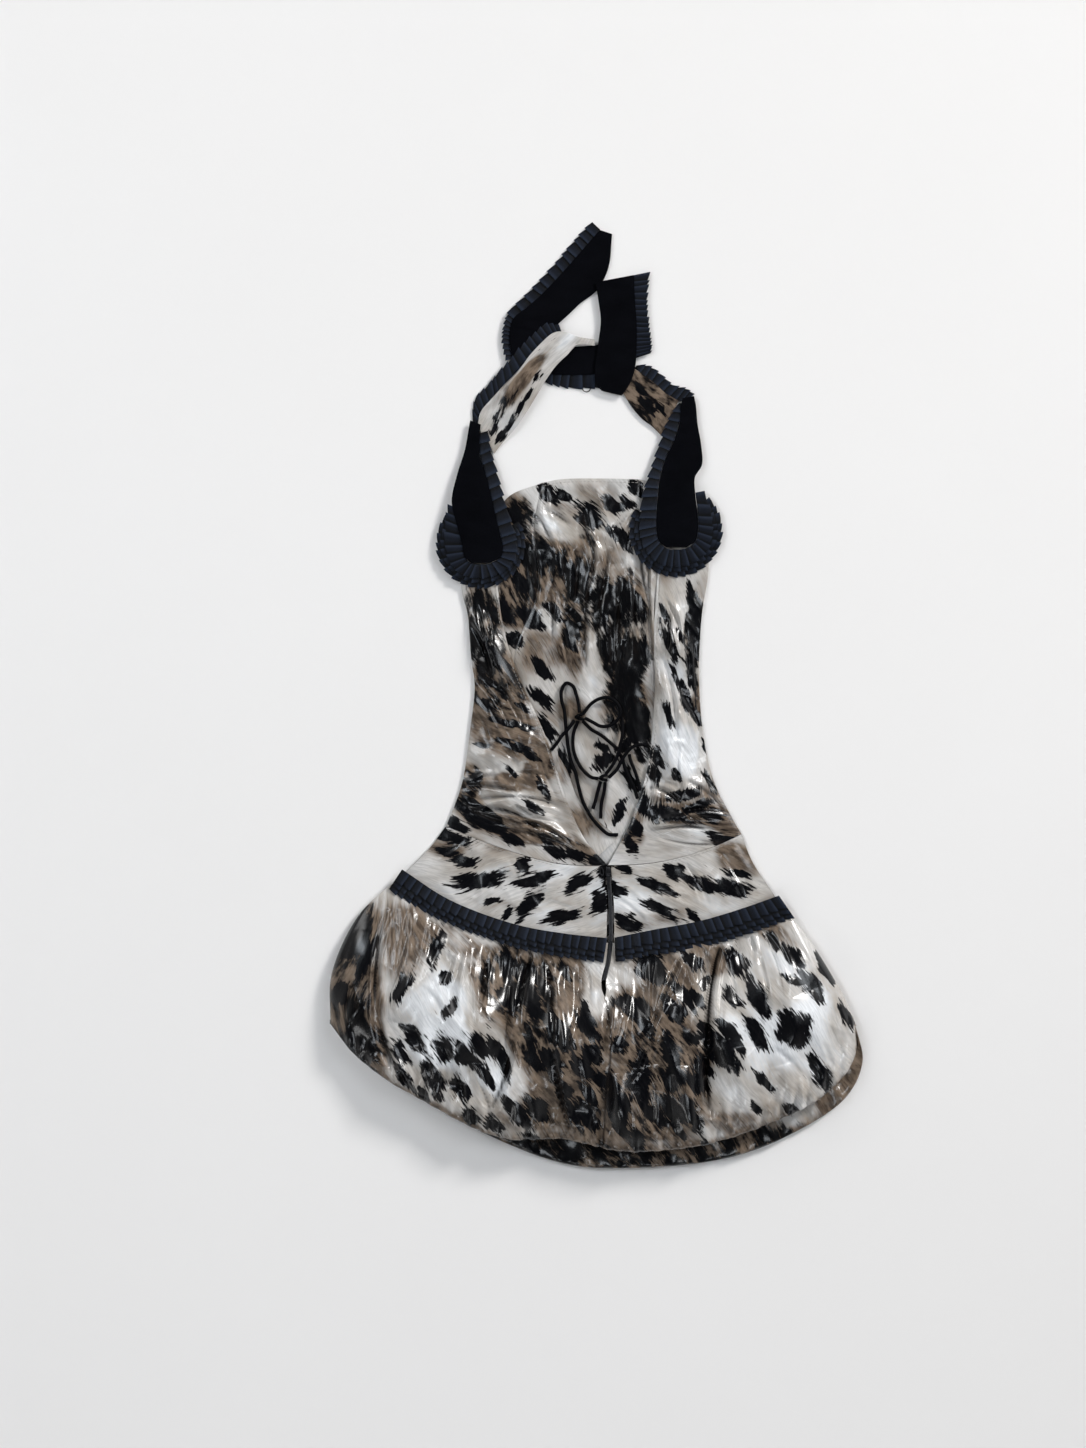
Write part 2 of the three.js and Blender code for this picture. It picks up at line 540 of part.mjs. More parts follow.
// ---- straps ----
// Each stretch has a row per section: edges ax, ay (ribbon side) and bx, by, and underside z.
const STRAPS = {
  left_lower: {
    up: "velvet",
    rows: [
      { ax: -122, ay: 151.5, bx: -141, by: 151, z: 8.5 },
      { ax: -110, ay: 158, bx: -149, by: 158, z: 8.5 },
      { ax: -107.5, ay: 169, bx: -152, by: 172, z: 8.5 },
      { ax: -113, ay: 193, bx: -158, by: 195, z: 8.5 },
      { ax: -120, ay: 223, bx: -164, by: 222, z: 8 },
      { ax: -127, ay: 252, bx: -158, by: 252, z: 6 },
      { ax: -134, ay: 277, bx: -149, by: 281, z: 4.4 },
      { ax: -136, ay: 300, bx: -141, by: 303, z: 3.6 },
    ],
  },
  left_upper: {
    up: "satin",
    rows: [
      { ax: -135, ay: 308, bx: -117, by: 278, z: 0.1 },
      { ax: -131, ay: 325, bx: -108, by: 290, z: 0.4 },
      { ax: -120, ay: 338, bx: -99, by: 300, z: 2 },
      { ax: -108, ay: 351, bx: -91, by: 309, z: 4.8 },
      { ax: -89, ay: 370, bx: -78, by: 328, z: 5.6 },
      { ax: -75, ay: 389, bx: -67, by: 346, z: 5.6 },
      { ax: -61, ay: 404, bx: -56, by: 364, z: 5.6 },
      { ax: -49, ay: 414, bx: -46, by: 378, z: 5.6 },
      { ax: -38, ay: 416, bx: -33, by: 391, z: 5.6 },
      { ax: -20, ay: 410, bx: -20, by: 403, z: 4.6 },
      { ax: -1, ay: 407, bx: -1, by: 402, z: 3.6 },
    ],
  },
  left_tail: {
    up: "velvet",
    rows: [
      { ax: 29, ay: 344, bx: 8, by: 349, z: 2.9 },
      { ax: 38, ay: 357, bx: 1, by: 358, z: 2.9 },
      { ax: 44, ay: 374, bx: 0.5, by: 374, z: 2.9 },
      { ax: 46, ay: 400, bx: 4, by: 403, z: 2.9 },
      { ax: 46, ay: 428, bx: 7, by: 430, z: 2.9 },
      { ax: 44, ay: 455, bx: 4, by: 455, z: 2.9 },
      { ax: 43, ay: 482, bx: 1, by: 474, z: 2.9 },
    ],
  },
  right_lower: {
    up: "velvet",
    rows: [
      { ax: 82, ay: 169.5, bx: 103, by: 169.5, z: 7.4 },
      { ax: 73.5, ay: 177, bx: 113, by: 176, z: 7.4 },
      { ax: 71, ay: 188, bx: 116, by: 187, z: 7.4 },
      { ax: 71, ay: 206, bx: 116, by: 206, z: 7.4 },
      { ax: 73, ay: 230, bx: 113, by: 232, z: 6.6 },
      { ax: 75, ay: 248, bx: 113, by: 250, z: 5.6 },
      { ax: 81, ay: 270, bx: 121, by: 264, z: 4.6 },
      { ax: 92, ay: 293, bx: 120, by: 288, z: 3.8 },
      { ax: 98, ay: 314, bx: 113, by: 311, z: 3.4 },
      { ax: 103, ay: 333, bx: 108, by: 334, z: 3.4 },
    ],
  },
  right_upper: {
    up: "satin",
    rows: [
      { ax: 44, ay: 374, bx: 32, by: 348, z: 0.1 },
      { ax: 56, ay: 366, bx: 42, by: 332, z: 0.1 },
      { ax: 68, ay: 357, bx: 53, by: 319, z: 0.1 },
      { ax: 80, ay: 346, bx: 66, by: 309, z: 0.1 },
      { ax: 95, ay: 337, bx: 76, by: 299, z: 0.1 },
    ],
  },
  right_band: {
    up: "velvet",
    rows: [
      { ax: -88, ay: 384, bx: -90, by: 412, z: 0.1 },
      { ax: -58, ay: 371, bx: -58, by: 399, z: 0.1 },
      { ax: -30, ay: 369, bx: -30, by: 399, z: 0.1 },
      { ax: 14, ay: 370, bx: 14, by: 402, z: 0.1 },
    ],
  },
  right_tail: {
    up: "velvet",
    rows: [
      { ax: -98, ay: 408, bx: -62, by: 406, z: 2.8 },
      { ax: -94, ay: 431, bx: -44, by: 426, z: 2.8 },
      { ax: -78, ay: 445, bx: -30, by: 439, z: 1.8 },
      { ax: -62, ay: 459, bx: -19, by: 450, z: 0.6 },
      { ax: -37, ay: 485, bx: 1, by: 466, z: 0.1 },
      { ax: -14, ay: 511, bx: 14, by: 492, z: 0.1 },
      { ax: 6, ay: 534, bx: 18, by: 530, z: 0.1 },
    ],
  },
};

// The pleated ribbon of each stretch, a row per station, and its number of pleats.
const STRAP_RIBBONS = {
  rosette_left_1: {
    pleats: 26,
    rows: [
      { sx: -136, sy: 300, fx: -122, fy: 304, z: 2.9 },
      { sx: -133, sy: 276, fx: -119, fy: 281, z: 3.7 },
      { sx: -126, sy: 251, fx: -113, fy: 258, z: 5.6 },
      { sx: -119, sy: 222, fx: -105, fy: 228, z: 7.4 },
      { sx: -112, sy: 192, fx: -96, fy: 197, z: 8.4 },
      { sx: -107, sy: 171, fx: -90, fy: 176, z: 8.4 },
      { sx: -109.5, sy: 158, fx: -93, fy: 152, z: 8.4 },
      { sx: -120, sy: 151.5, fx: -110, fy: 138, z: 8.4 },
      { sx: -132, sy: 150, fx: -132, fy: 133, z: 8.4 },
      { sx: -142.5, sy: 151.5, fx: -154, fy: 138, z: 8.4 },
      { sx: -149.5, sy: 158, fx: -168, fy: 152, z: 8.4 },
      { sx: -152.5, sy: 172, fx: -173, fy: 172, z: 8.4 },
      { sx: -158.5, sy: 195, fx: -173, fy: 200, z: 8.4 },
      { sx: -163.5, sy: 216, fx: -170, fy: 219, z: 8.2 },
    ],
  },
  rosette_right_1: {
    pleats: 29,
    rows: [
      { sx: 103, sy: 334, fx: 94, fy: 336, z: 3.4 },
      { sx: 97, sy: 314, fx: 83, fy: 317, z: 3.4 },
      { sx: 91, sy: 293, fx: 76, fy: 300, z: 3.8 },
      { sx: 80, sy: 270, fx: 68, fy: 275, z: 5 },
      { sx: 74, sy: 249, fx: 60, fy: 253, z: 6.4 },
      { sx: 71.5, sy: 230, fx: 53, fy: 231, z: 7.8 },
      { sx: 70, sy: 206, fx: 50, fy: 206, z: 8.4 },
      { sx: 70, sy: 188, fx: 50, fy: 184, z: 8.4 },
      { sx: 72.5, sy: 177, fx: 57, fy: 165, z: 8.4 },
      { sx: 81, sy: 168.5, fx: 72, fy: 151, z: 8.4 },
      { sx: 92, sy: 167, fx: 92, fy: 146, z: 8.4 },
      { sx: 104, sy: 168.5, fx: 112, fy: 151, z: 8.4 },
      { sx: 114, sy: 175.5, fx: 128, fy: 163, z: 8.4 },
      { sx: 117, sy: 187, fx: 134, fy: 182, z: 8.4 },
      { sx: 117, sy: 206, fx: 134, fy: 205, z: 8.4 },
      { sx: 114, sy: 232, fx: 125, fy: 234, z: 8.4 },
    ],
  },
  strap_left_upper_trim: {
    pleats: 17,
    rows: [
      { sx: -136, sy: 309, fx: -143, fy: 314, z: 0.1 },
      { sx: -132, sy: 325, fx: -139, fy: 341, z: 0.6 },
      { sx: -120, sy: 338, fx: -125, fy: 356, z: 2 },
      { sx: -108.8, sy: 351.8, fx: -112, fy: 371, z: 4.8 },
      { sx: -90, sy: 371, fx: -97, fy: 388, z: 5.6 },
      { sx: -75, sy: 389, fx: -85, fy: 402, z: 5.6 },
      { sx: -61, sy: 404, fx: -71, fy: 416, z: 5.6 },
      { sx: -49, sy: 414, fx: -56, fy: 427, z: 5.6 },
      { sx: -39, sy: 416.5, fx: -42, fy: 425, z: 5.6 },
    ],
  },
  strap_left_tail_trim: {
    pleats: 9,
    rows: [
      { sx: 46, sy: 387, fx: 65, fy: 393, z: 3.2 },
      { sx: 46, sy: 405, fx: 65, fy: 406, z: 3.2 },
      { sx: 46, sy: 428, fx: 62, fy: 428, z: 3.2 },
      { sx: 44.5, sy: 455, fx: 60, fy: 455, z: 3.2 },
      { sx: 43.5, sy: 482, fx: 63, fy: 486, z: 3.2 },
    ],
  },
  strap_right_upper_trim: {
    pleats: 9,
    rows: [
      { sx: 45, sy: 375, fx: 48, fy: 381, z: 0.1 },
      { sx: 56, sy: 367, fx: 63, fy: 379, z: 0.1 },
      { sx: 68, sy: 358, fx: 77, fy: 369, z: 0.1 },
      { sx: 80, sy: 347, fx: 90, fy: 357, z: 0.1 },
      { sx: 95, sy: 338, fx: 106, fy: 353, z: 0.1 },
      { sx: 103, sy: 338, fx: 114, fy: 346, z: 0.1 },
    ],
  },
  strap_right_band_trim: {
    pleats: 9,
    rows: [
      { sx: -80, sy: 380, fx: -84, fy: 367, z: 0.1 },
      { sx: -58, sy: 371, fx: -60, fy: 359, z: 0.1 },
      { sx: -30, sy: 369, fx: -31, fy: 352, z: 0.1 },
      { sx: 12, sy: 370, fx: 10, fy: 352, z: 0.1 },
    ],
  },
  strap_right_tail_trim: {
    pleats: 21,
    rows: [
      { sx: 5.5, sy: 535, fx: -5, fy: 545, z: 0.1 },
      { sx: -14, sy: 511, fx: -25, fy: 523, z: 0.1 },
      { sx: -37, sy: 485, fx: -48, fy: 496, z: 0.1 },
      { sx: -62, sy: 459, fx: -73, fy: 469, z: 0.6 },
      { sx: -94, sy: 431, fx: -102, fy: 438, z: 2.8 },
      { sx: -98, sy: 418, fx: -107, fy: 420, z: 2.8 },
      { sx: -98.5, sy: 403, fx: -108, fy: 404, z: 2.8 },
      { sx: -95, sy: 390, fx: -103, fy: 389, z: 2.4 },
    ],
  },
};

// The lower ribbons of each rosette, fanned round the strap's rounded end.
const ROSETTES = {
  left: { x: -132, y: 174, layers: [{ inner: 32, outer: 46.5, from: 25, to: -228 }, { inner: 37, outer: 51.8, from: 30, to: -232 }] },
  right: { x: 92, y: 189, layers: [{ inner: 33, outer: 48, from: 155, to: 398 }, { inner: 38, outer: 54, from: 152, to: 405 }] },
};

function makeStraps() {
  for (const [name, { up, rows }] of Object.entries(STRAPS)) {
    const [a, b] = [through(rows.map((r) => [r.ax, r.ay, r.z])), through(rows.map((r) => [r.bx, r.by, r.z]))];
    const steps = rows.length + 1;
    const under = up === "velvet" ? "satin" : "velvet";
    [[under, FACE], [up, 2 * FACE + SEAM]].forEach(([face, top]) => {
      const grid = Array.from({ length: steps + 1 }, (_, i) =>
        [0, 1].map((t) => a.getPoint(i / steps).lerp(b.getPoint(i / steps), t).add(vec(0, 0, top))),
      );
      const look = face === "velvet" ? "velvet" : "print";
      clothWall(`strap_${name}_${face}`, grid, FACE, look);
    });
  }
  for (const [name, { pleats, rows }] of Object.entries(STRAP_RIBBONS))
    pleatedRibbon(name, ribbonFrom(rows), pleats);
  for (const [hand, { x, y, layers }] of Object.entries(ROSETTES))
    layers.forEach((layer, i) => {
      const z = 5.2 + (layers.length - 1 - i) * (RIBBON + LAP + SEAM);
      const arc = (Math.abs(layer.to - layer.from) * Math.PI) / 180;
      const pleats = Math.round((arc * layer.outer) / (PLEAT + 1.5));
      pleatedRibbon(`rosette_${hand}_${i + 2}`, ribbonArc({ x, y, z, ...layer }), pleats);
    });
}

// ---- zip ----
const HINGE = { y: -206, above: 4.4, bore: 0.9, pin: 0.6, eye: 1.7 };

async function makeZip() {
  const zipPath = through(ZIP_LINE);
  const seatHeight = (y) =>
    y > HIP[3][1] ? yokeHeight(0, (WAIST[3][1] - y) / (WAIST[3][1] - HIP[3][1]))
      : skirtHeight(0, (HIP[3][1] - y) / (HIP[3][1] - CENTRE_SEAM.at(-1)[1]));
  const rows = Array.from({ length: 13 }, (_, i) => zipPath.getPointAt(lerp(0.01, 0.985, i / 12)));
  const grid = rows.map((p) =>
    [-0.5, 0.5].map((side) => vec(p.x + side * ZIP.width, p.y, seatHeight(p.y) + 0.4)),
  );
  clothWall("zip_chain", grid, ZIP.depth, "zip");

  const x = zipPath.getPointAt(0.06).x;
  const surface = seatHeight(HINGE.y) + 0.4;
  const wasm = await Module();
  wasm.setup();
  const solid = (geometry) => {
    const plain = geometry.index ? geometry.toNonIndexed() : geometry.clone();
    plain.deleteAttribute("normal");
    plain.deleteAttribute("uv");
    const merged = mergeVertices(plain, 1e-4);
    return new wasm.Manifold(
      new wasm.Mesh({
        numProp: 3,
        vertProperties: merged.attributes.position.array,
        triVerts: new Uint32Array(merged.index.array),
      }),
    );
  };
  const body = roundedPlate(6.4, 10, 1.4, 2.6).translate(x, HINGE.y + 1.5, surface + SEAM);
  const pivot = surface + HINGE.above;
  const ears = [-1, 1].map((side) => {
    const ear = new THREE.BoxGeometry(0.8, 3, HINGE.above - SEAM);
    return ear.translate(x + side * 2.5, HINGE.y, surface + SEAM + 1 + (HINGE.above - SEAM) / 2);
  });
  const pin = new THREE.CylinderGeometry(HINGE.pin, HINGE.pin, 5.4, 12).rotateZ(Math.PI / 2).translate(x, HINGE.y, pivot);
  const joined = [...ears, pin].reduce((sum, piece) => sum.add(solid(piece)), solid(body));
  const mesh = joined.getMesh();
  const slider = new THREE.BufferGeometry()
    .setAttribute("position", new THREE.BufferAttribute(new Float32Array(mesh.vertProperties), 3))
    .setIndex(new THREE.BufferAttribute(new Uint32Array(mesh.triVerts), 1));
  addMesh("zip_slider", slider, "metal");

  // The pull tab: an eye round the slider's pin and a flat tongue that hangs down the zip.
  const side = new THREE.Shape();
  const tongue = { length: 17, thick: 1.1 };
  side.absarc(0, 0, HINGE.eye, THREE.MathUtils.degToRad(-130), THREE.MathUtils.degToRad(170), false);
  side.lineTo(-tongue.length + 1, -1.4 + tongue.thick);
  side.quadraticCurveTo(-tongue.length - 0.3, -1.4 + tongue.thick / 2, -tongue.length + 1, -1.4);
  side.closePath();
  const hole = new THREE.Path();
  hole.absarc(0, 0, HINGE.bore, 0, 2 * Math.PI, true);
  side.holes.push(hole);
  const tab = new THREE.ExtrudeGeometry(side, { depth: 3.4, bevelEnabled: false, curveSegments: 8 });
  // Shape x runs along the dress and shape y up from it.
  tab.translate(0, 0, -1.7).rotateY(Math.PI / 2).rotateX(Math.PI / 2);
  addMesh("zip_pull", tab.translate(x, HINGE.y, pivot), "metal");

  // The eye beside the top of the zip, sewn on the left edge.
  const loop = new THREE.Shape().absellipse(0, 0, 2.6, 5.4, 0, 2 * Math.PI);
  loop.holes.push(new THREE.Path().absellipse(0, 0, 1.3, 3.6, 0, 2 * Math.PI, true));
  const eye = new THREE.ExtrudeGeometry(loop, { depth: 1, bevelEnabled: false, curveSegments: 12 });
  addMesh("zip_eye", eye.rotateZ(0.15).translate(7, -202.5, seatHeight(-202.5) + SEAM), "metal");
}

function roundedPlate(width, length, thick, radius) {
  const [w, l, r] = [width / 2, length / 2, radius];
  const shape = new THREE.Shape();
  shape.absarc(w - r, l - r, r, 0, Math.PI / 2);
  shape.absarc(r - w, l - r, r, Math.PI / 2, Math.PI);
  shape.absarc(r - w, r - l, r, Math.PI, 1.5 * Math.PI);
  shape.absarc(w - r, r - l, r, 1.5 * Math.PI, 2 * Math.PI);
  return new THREE.ExtrudeGeometry(shape, { depth: thick, bevelEnabled: false, curveSegments: 4 });
}

// ---- lacing ----
const LOW = 5.3; // height of a strand that lies on the front
const OVER = LOW + LACE + SEAM; // and of one that crosses over another
const KNOTS = {
  lace_knot_upper: { x: -18, y: -25, z: 7, rx: 5.4, ry: 4.6, rz: 3.4 },
  lace_knot_lower: { x: 9, y: -95, z: 7, rx: 5, ry: 4.6, rz: 3.4 },
};
// Routes as [x, y, z]: from where each strand leaves a wing's edge or a knot to its other end.
const LACES = {
  lace_long: [
    [26, -160.5, LOW], [15, -160, LOW], [5, -152, LOW], [-4, -141.5, LOW], [-11, -130, LOW], [-16, -118, LOW],
    [-20, -103, LOW], [-23, -90, LOW], [-28, -77, LOW], [-31, -64, LOW], [-33, -48, LOW], [-34.5, -34, LOW],
    [-36, -17, LOW], [-39, -6, LOW], [-39, 6, LOW], [-33.5, 13.5, LOW], [-26, 10, LOW], [-22.5, 1, LOW],
    [-20, -8, LOW], [-18.5, -20.2, 6.6],
  ],
  lace_left: [[-50.9, -63.4, 6.4], [-45, -56, 8], [-38, -46, OVER], [-31, -38.5, OVER], [-24.3, -29, 8.4]],
  lace_bow: [
    [-13.6, -20.8, 7.8], [-6, -11, OVER], [3, -5, OVER], [14, -3, OVER], [24, -9, OVER], [28.5, -19.5, OVER],
    [24.5, -29, OVER], [16, -35, OVER], [6, -36, OVER], [-3, -31.5, OVER], [-12.3, -26.4, 7.6],
  ],
  lace_cross: [
    [-14.8, -29.9, 6.2], [-5, -39.5, LOW], [6, -46, LOW], [16, -54, LOW], [25, -63, LOW], [30, -72, LOW],
    [34, -84, LOW], [39, -96, LOW], [43.5, -105, LOW], [46.5, -114, LOW], [48, -119, 6],
  ],
  lace_drop: [
    [30, -26, LOW], [31, -38, 7.2], [30.5, -48, OVER], [28, -58, OVER], [26, -67, OVER], [21.5, -77, OVER],
    [15.5, -86, 8.6], [11.5, -90.8, 8],
  ],
  lace_side: [
    [-20.2, -29.8, 6.4], [-24.5, -41, LOW], [-26, -51, LOW], [-25.5, -63, LOW], [-21, -76, LOW], [-14, -87, LOW],
    [-5, -94.5, LOW], [3.2, -96, 7],
  ],
  lace_right: [
    [60, -57.5, 6.4], [50, -57, 7.6], [42, -60, OVER], [35, -67, OVER], [29.5, -76, OVER], [24, -86, OVER],
    [17, -93, 8.6], [14.8, -94.5, 7.8],
  ],
  lace_short: [[50.7, -110, 5.6], [48.5, -98, LOW], [44.5, -86, LOW], [40, -75, LOW], [38.5, -68, LOW]],
  lace_tail_left: [[5.6, -99.4, 7.2], [3, -109, LOW], [0, -121, LOW], [-3.2, -131, LOW]],
  lace_tail_right: [[11, -100.4, 7.2], [9.5, -112, LOW], [6.5, -126, LOW], [5.8, -142, LOW]],
};

function makeLacing() {
  for (const [name, { x, y, z, rx, ry, rz }] of Object.entries(KNOTS)) {
    const ball = new THREE.SphereGeometry(1, 12, 8).rotateX(Math.PI / 2).scale(rx, ry, rz);
    addMesh(name, ball.translate(x, y, z), "lace");
    laceNames.add(name);
  }
  const sides = 8;
  const section = new THREE.Shape(
    Array.from({ length: sides }, (_, i) => {
      const angle = (2 * Math.PI * i) / sides;
      return new THREE.Vector2((LACE / 2) * Math.cos(angle), (LACE / 2) * Math.sin(angle));
    }),
  );
  for (const [name, points] of Object.entries(LACES)) {
    const route = through(points);
    const steps = Math.max(4, Math.round(route.getLength() / (3.1 * LACE)));
    const tube = new THREE.ExtrudeGeometry(section, { steps, extrudePath: route, bevelEnabled: false });
    addMesh(name, tube, "lace");
    laceNames.add(name);
  }
}

makeFront();
makeWings();
makeYoke();
makeSkirtBack();
makeHipRibbons();
makeStraps();
await makeZip();
makeLacing();

// The origin is under the middle of the dress, measured without the lacing.
const box = new THREE.Box3();
for (const mesh of dress.children) if (!laceNames.has(mesh.name)) box.expandByObject(mesh);
const middle = box.getCenter(vec(0, 0));
dress.position.set(-middle.x, -middle.y, -box.min.z);

export default dress;
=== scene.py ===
"""A halter dress laid flat with its back up.

The tables are plans in millimetres on the dress, X to the picture's right and Y towards the neck.
"""

import math

import bmesh
import bpy
import numpy as np
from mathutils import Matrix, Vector
from mathutils.bvhtree import BVHTree


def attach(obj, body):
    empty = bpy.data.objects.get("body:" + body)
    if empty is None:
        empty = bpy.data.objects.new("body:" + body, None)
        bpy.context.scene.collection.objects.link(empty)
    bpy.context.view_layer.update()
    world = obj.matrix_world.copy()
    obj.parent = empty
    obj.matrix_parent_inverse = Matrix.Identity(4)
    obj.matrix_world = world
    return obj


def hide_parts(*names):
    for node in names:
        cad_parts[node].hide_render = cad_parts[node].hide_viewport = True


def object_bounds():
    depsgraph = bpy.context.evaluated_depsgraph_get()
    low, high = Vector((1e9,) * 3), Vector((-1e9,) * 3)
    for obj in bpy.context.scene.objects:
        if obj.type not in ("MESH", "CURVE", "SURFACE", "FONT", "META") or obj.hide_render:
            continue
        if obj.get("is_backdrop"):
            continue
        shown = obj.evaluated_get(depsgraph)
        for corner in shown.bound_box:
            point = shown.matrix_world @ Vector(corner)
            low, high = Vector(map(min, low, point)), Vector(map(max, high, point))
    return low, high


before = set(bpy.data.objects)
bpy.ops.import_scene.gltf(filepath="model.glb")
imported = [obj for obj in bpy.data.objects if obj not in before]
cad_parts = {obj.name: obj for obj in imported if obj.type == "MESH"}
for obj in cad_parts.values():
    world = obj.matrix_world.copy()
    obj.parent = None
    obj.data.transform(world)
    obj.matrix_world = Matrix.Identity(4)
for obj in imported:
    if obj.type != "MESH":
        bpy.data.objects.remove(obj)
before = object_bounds()

SHIFT = np.array([-0.123, -0.729, 0.0])  # from the plan tables to the row frame, mm
MM = 0.001

# ---------------------------------------------------------------- camera, light and floor
PHOTO_HEIGHT = 1448  # picture elements
SCALE = 1.15  # millimetres for each of them
SPAN = SCALE * PHOTO_HEIGHT * MM  # the photograph's height on the floor
SENSOR = 36
EYE = Vector((-0.0605, -0.0341, 3.2))

camera_data = bpy.data.cameras.new("camera")
camera_data.sensor_width = SENSOR
camera_data.lens = SENSOR * EYE.z / SPAN
camera = bpy.data.objects.new("camera", camera_data)
camera.location = EYE
bpy.context.scene.collection.objects.link(camera)
bpy.context.scene.camera = camera


def area_light(name, location, target, size, energy, color=(1, 1, 1)):
    data = bpy.data.lights.new(name, "AREA")
    data.shape = "RECTANGLE"
    data.size, data.size_y = size
    data.energy = energy
    data.color = color
    light = bpy.data.objects.new(name, data)
    light.location = location
    light.rotation_euler = (Vector(target) - Vector(location)).to_track_quat("-Z", "Y").to_euler()
    bpy.context.scene.collection.objects.link(light)
    light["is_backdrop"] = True


area_light("key", (5.0, 4.8, 3.6), (0, -0.1, 0), (1.5, 1.5), 500, (1, 0.985, 0.965))
area_light("window", (-3.4, 2.6, 2.9), (0, 0, 0), (1.6, 2.8), 50, (1, 0.99, 0.98))
area_light("low_left", (-3.0, -3.4, 2.6), (0, -0.2, 0), (1.8, 0.5), 21)
area_light("strip_left", (-1.7, 0.9, 2.6), (-0.1, 0, 0), (0.5, 1.6), 23, (0.86, 0.93, 1))
area_light("strip_right", (1.8, 0.7, 2.6), (0, 0, 0), (0.5, 1.5), 20, (0.9, 0.95, 1))
area_light("strip_low", (-0.3, -1.9, 2.5), (0, 0, 0), (1.5, 0.35), 13, (0.9, 0.95, 1))


def room_light():
    """Pale at the horizon and dim overhead, so that flat satin stays dark between its highlights."""
    world = bpy.data.worlds.new("world")
    world.use_nodes = True
    sky = world.node_tree
    place = sky.nodes.new("ShaderNodeTexCoord")
    split = sky.nodes.new("ShaderNodeSeparateXYZ")
    fade = sky.nodes.new("ShaderNodeMapRange")
    for limit, value in (("From Min", 0.05), ("From Max", 0.75), ("To Min", 0.45), ("To Max", 0.03)):
        fade.inputs[limit].default_value = value
    sky.links.new(place.outputs["Generated"], split.inputs[0])
    sky.links.new(split.outputs["Z"], fade.inputs["Value"])
    sky.links.new(fade.outputs["Result"], sky.nodes["Background"].inputs["Strength"])
    sky.nodes["Background"].inputs["Color"].default_value = (1, 0.99, 0.985, 1)
    bpy.context.scene.world = world


room_light()
bpy.context.scene.view_settings.view_transform = "Standard"


# ---------------------------------------------------------------- materials
class Nodes:
    """A material's node tree, built node by node."""

    def __init__(self, name):
        self.material = bpy.data.materials.new(name)
        self.material.use_nodes = True
        self.tree = self.material.node_tree
        self.shader = self.tree.nodes["Principled BSDF"]

    def link(self, value, socket):
        if isinstance(value, bpy.types.NodeSocket):
            self.tree.links.new(value, socket)
        elif isinstance(value, tuple) and len(value) == 3 and len(socket.default_value) == 4:
            socket.default_value = (*value, 1)
        else:
            socket.default_value = value

    def add(self, kind, inputs=None, output=0, **settings):
        node = self.tree.nodes.new("ShaderNode" + kind)
        for key, value in settings.items():
            setattr(node, key, value)
        for key, value in (inputs or {}).items():
            self.link(value, node.inputs[key])
        return node.outputs[output]

    def attribute(self, name, output="Vector"):
        return self.add("Attribute", attribute_name=name, output=output)

    def math(self, operation, a, b=0.0, c=0.0):
        return self.add("Math", {0: a, 1: b, 2: c}, operation=operation)

    def noise(self, vector, scale, detail=3.0, rough=0.55, offset=0.0):
        """Noise over a vector in millimetres stretched by scale, between 0 and 1."""
        placed = self.add(
            "Mapping", {"Vector": vector, "Scale": scale, "Location": (offset, offset * 1.7, 0)}
        )
        return self.add(
            "TexNoise", {"Vector": placed, "Scale": 1.0, "Detail": detail, "Roughness": rough}
        )

    def ramp(self, value, low, high):
        return self.add(
            "MapRange",
            {"Value": value, "From Min": low, "From Max": high},
            interpolation_type="SMOOTHSTEP",
        )

    def mix(self, factor, a, b):
        node = self.tree.nodes.new("ShaderNodeMix")
        node.data_type = "RGBA"
        self.link(factor, node.inputs[0])
        self.link(a, node.inputs[6])
        self.link(b, node.inputs[7])
        return node.outputs[2]

    def bump(self, height, distance, strength=1.0, normal=None):
        inputs = {"Height": height, "Distance": distance, "Strength": strength}
        if normal is not None:
            inputs["Normal"] = normal
        return self.add("Bump", inputs)

    def finish(self, color, roughness, normal=None, **fixed):
        self.link(color, self.shader.inputs["Base Color"])
        self.link(roughness, self.shader.inputs["Roughness"])
        if normal is not None:
            self.link(normal, self.shader.inputs["Normal"])
        for key, value in fixed.items():
            self.shader.inputs[key.replace("_", " ")].default_value = value
        return self.material


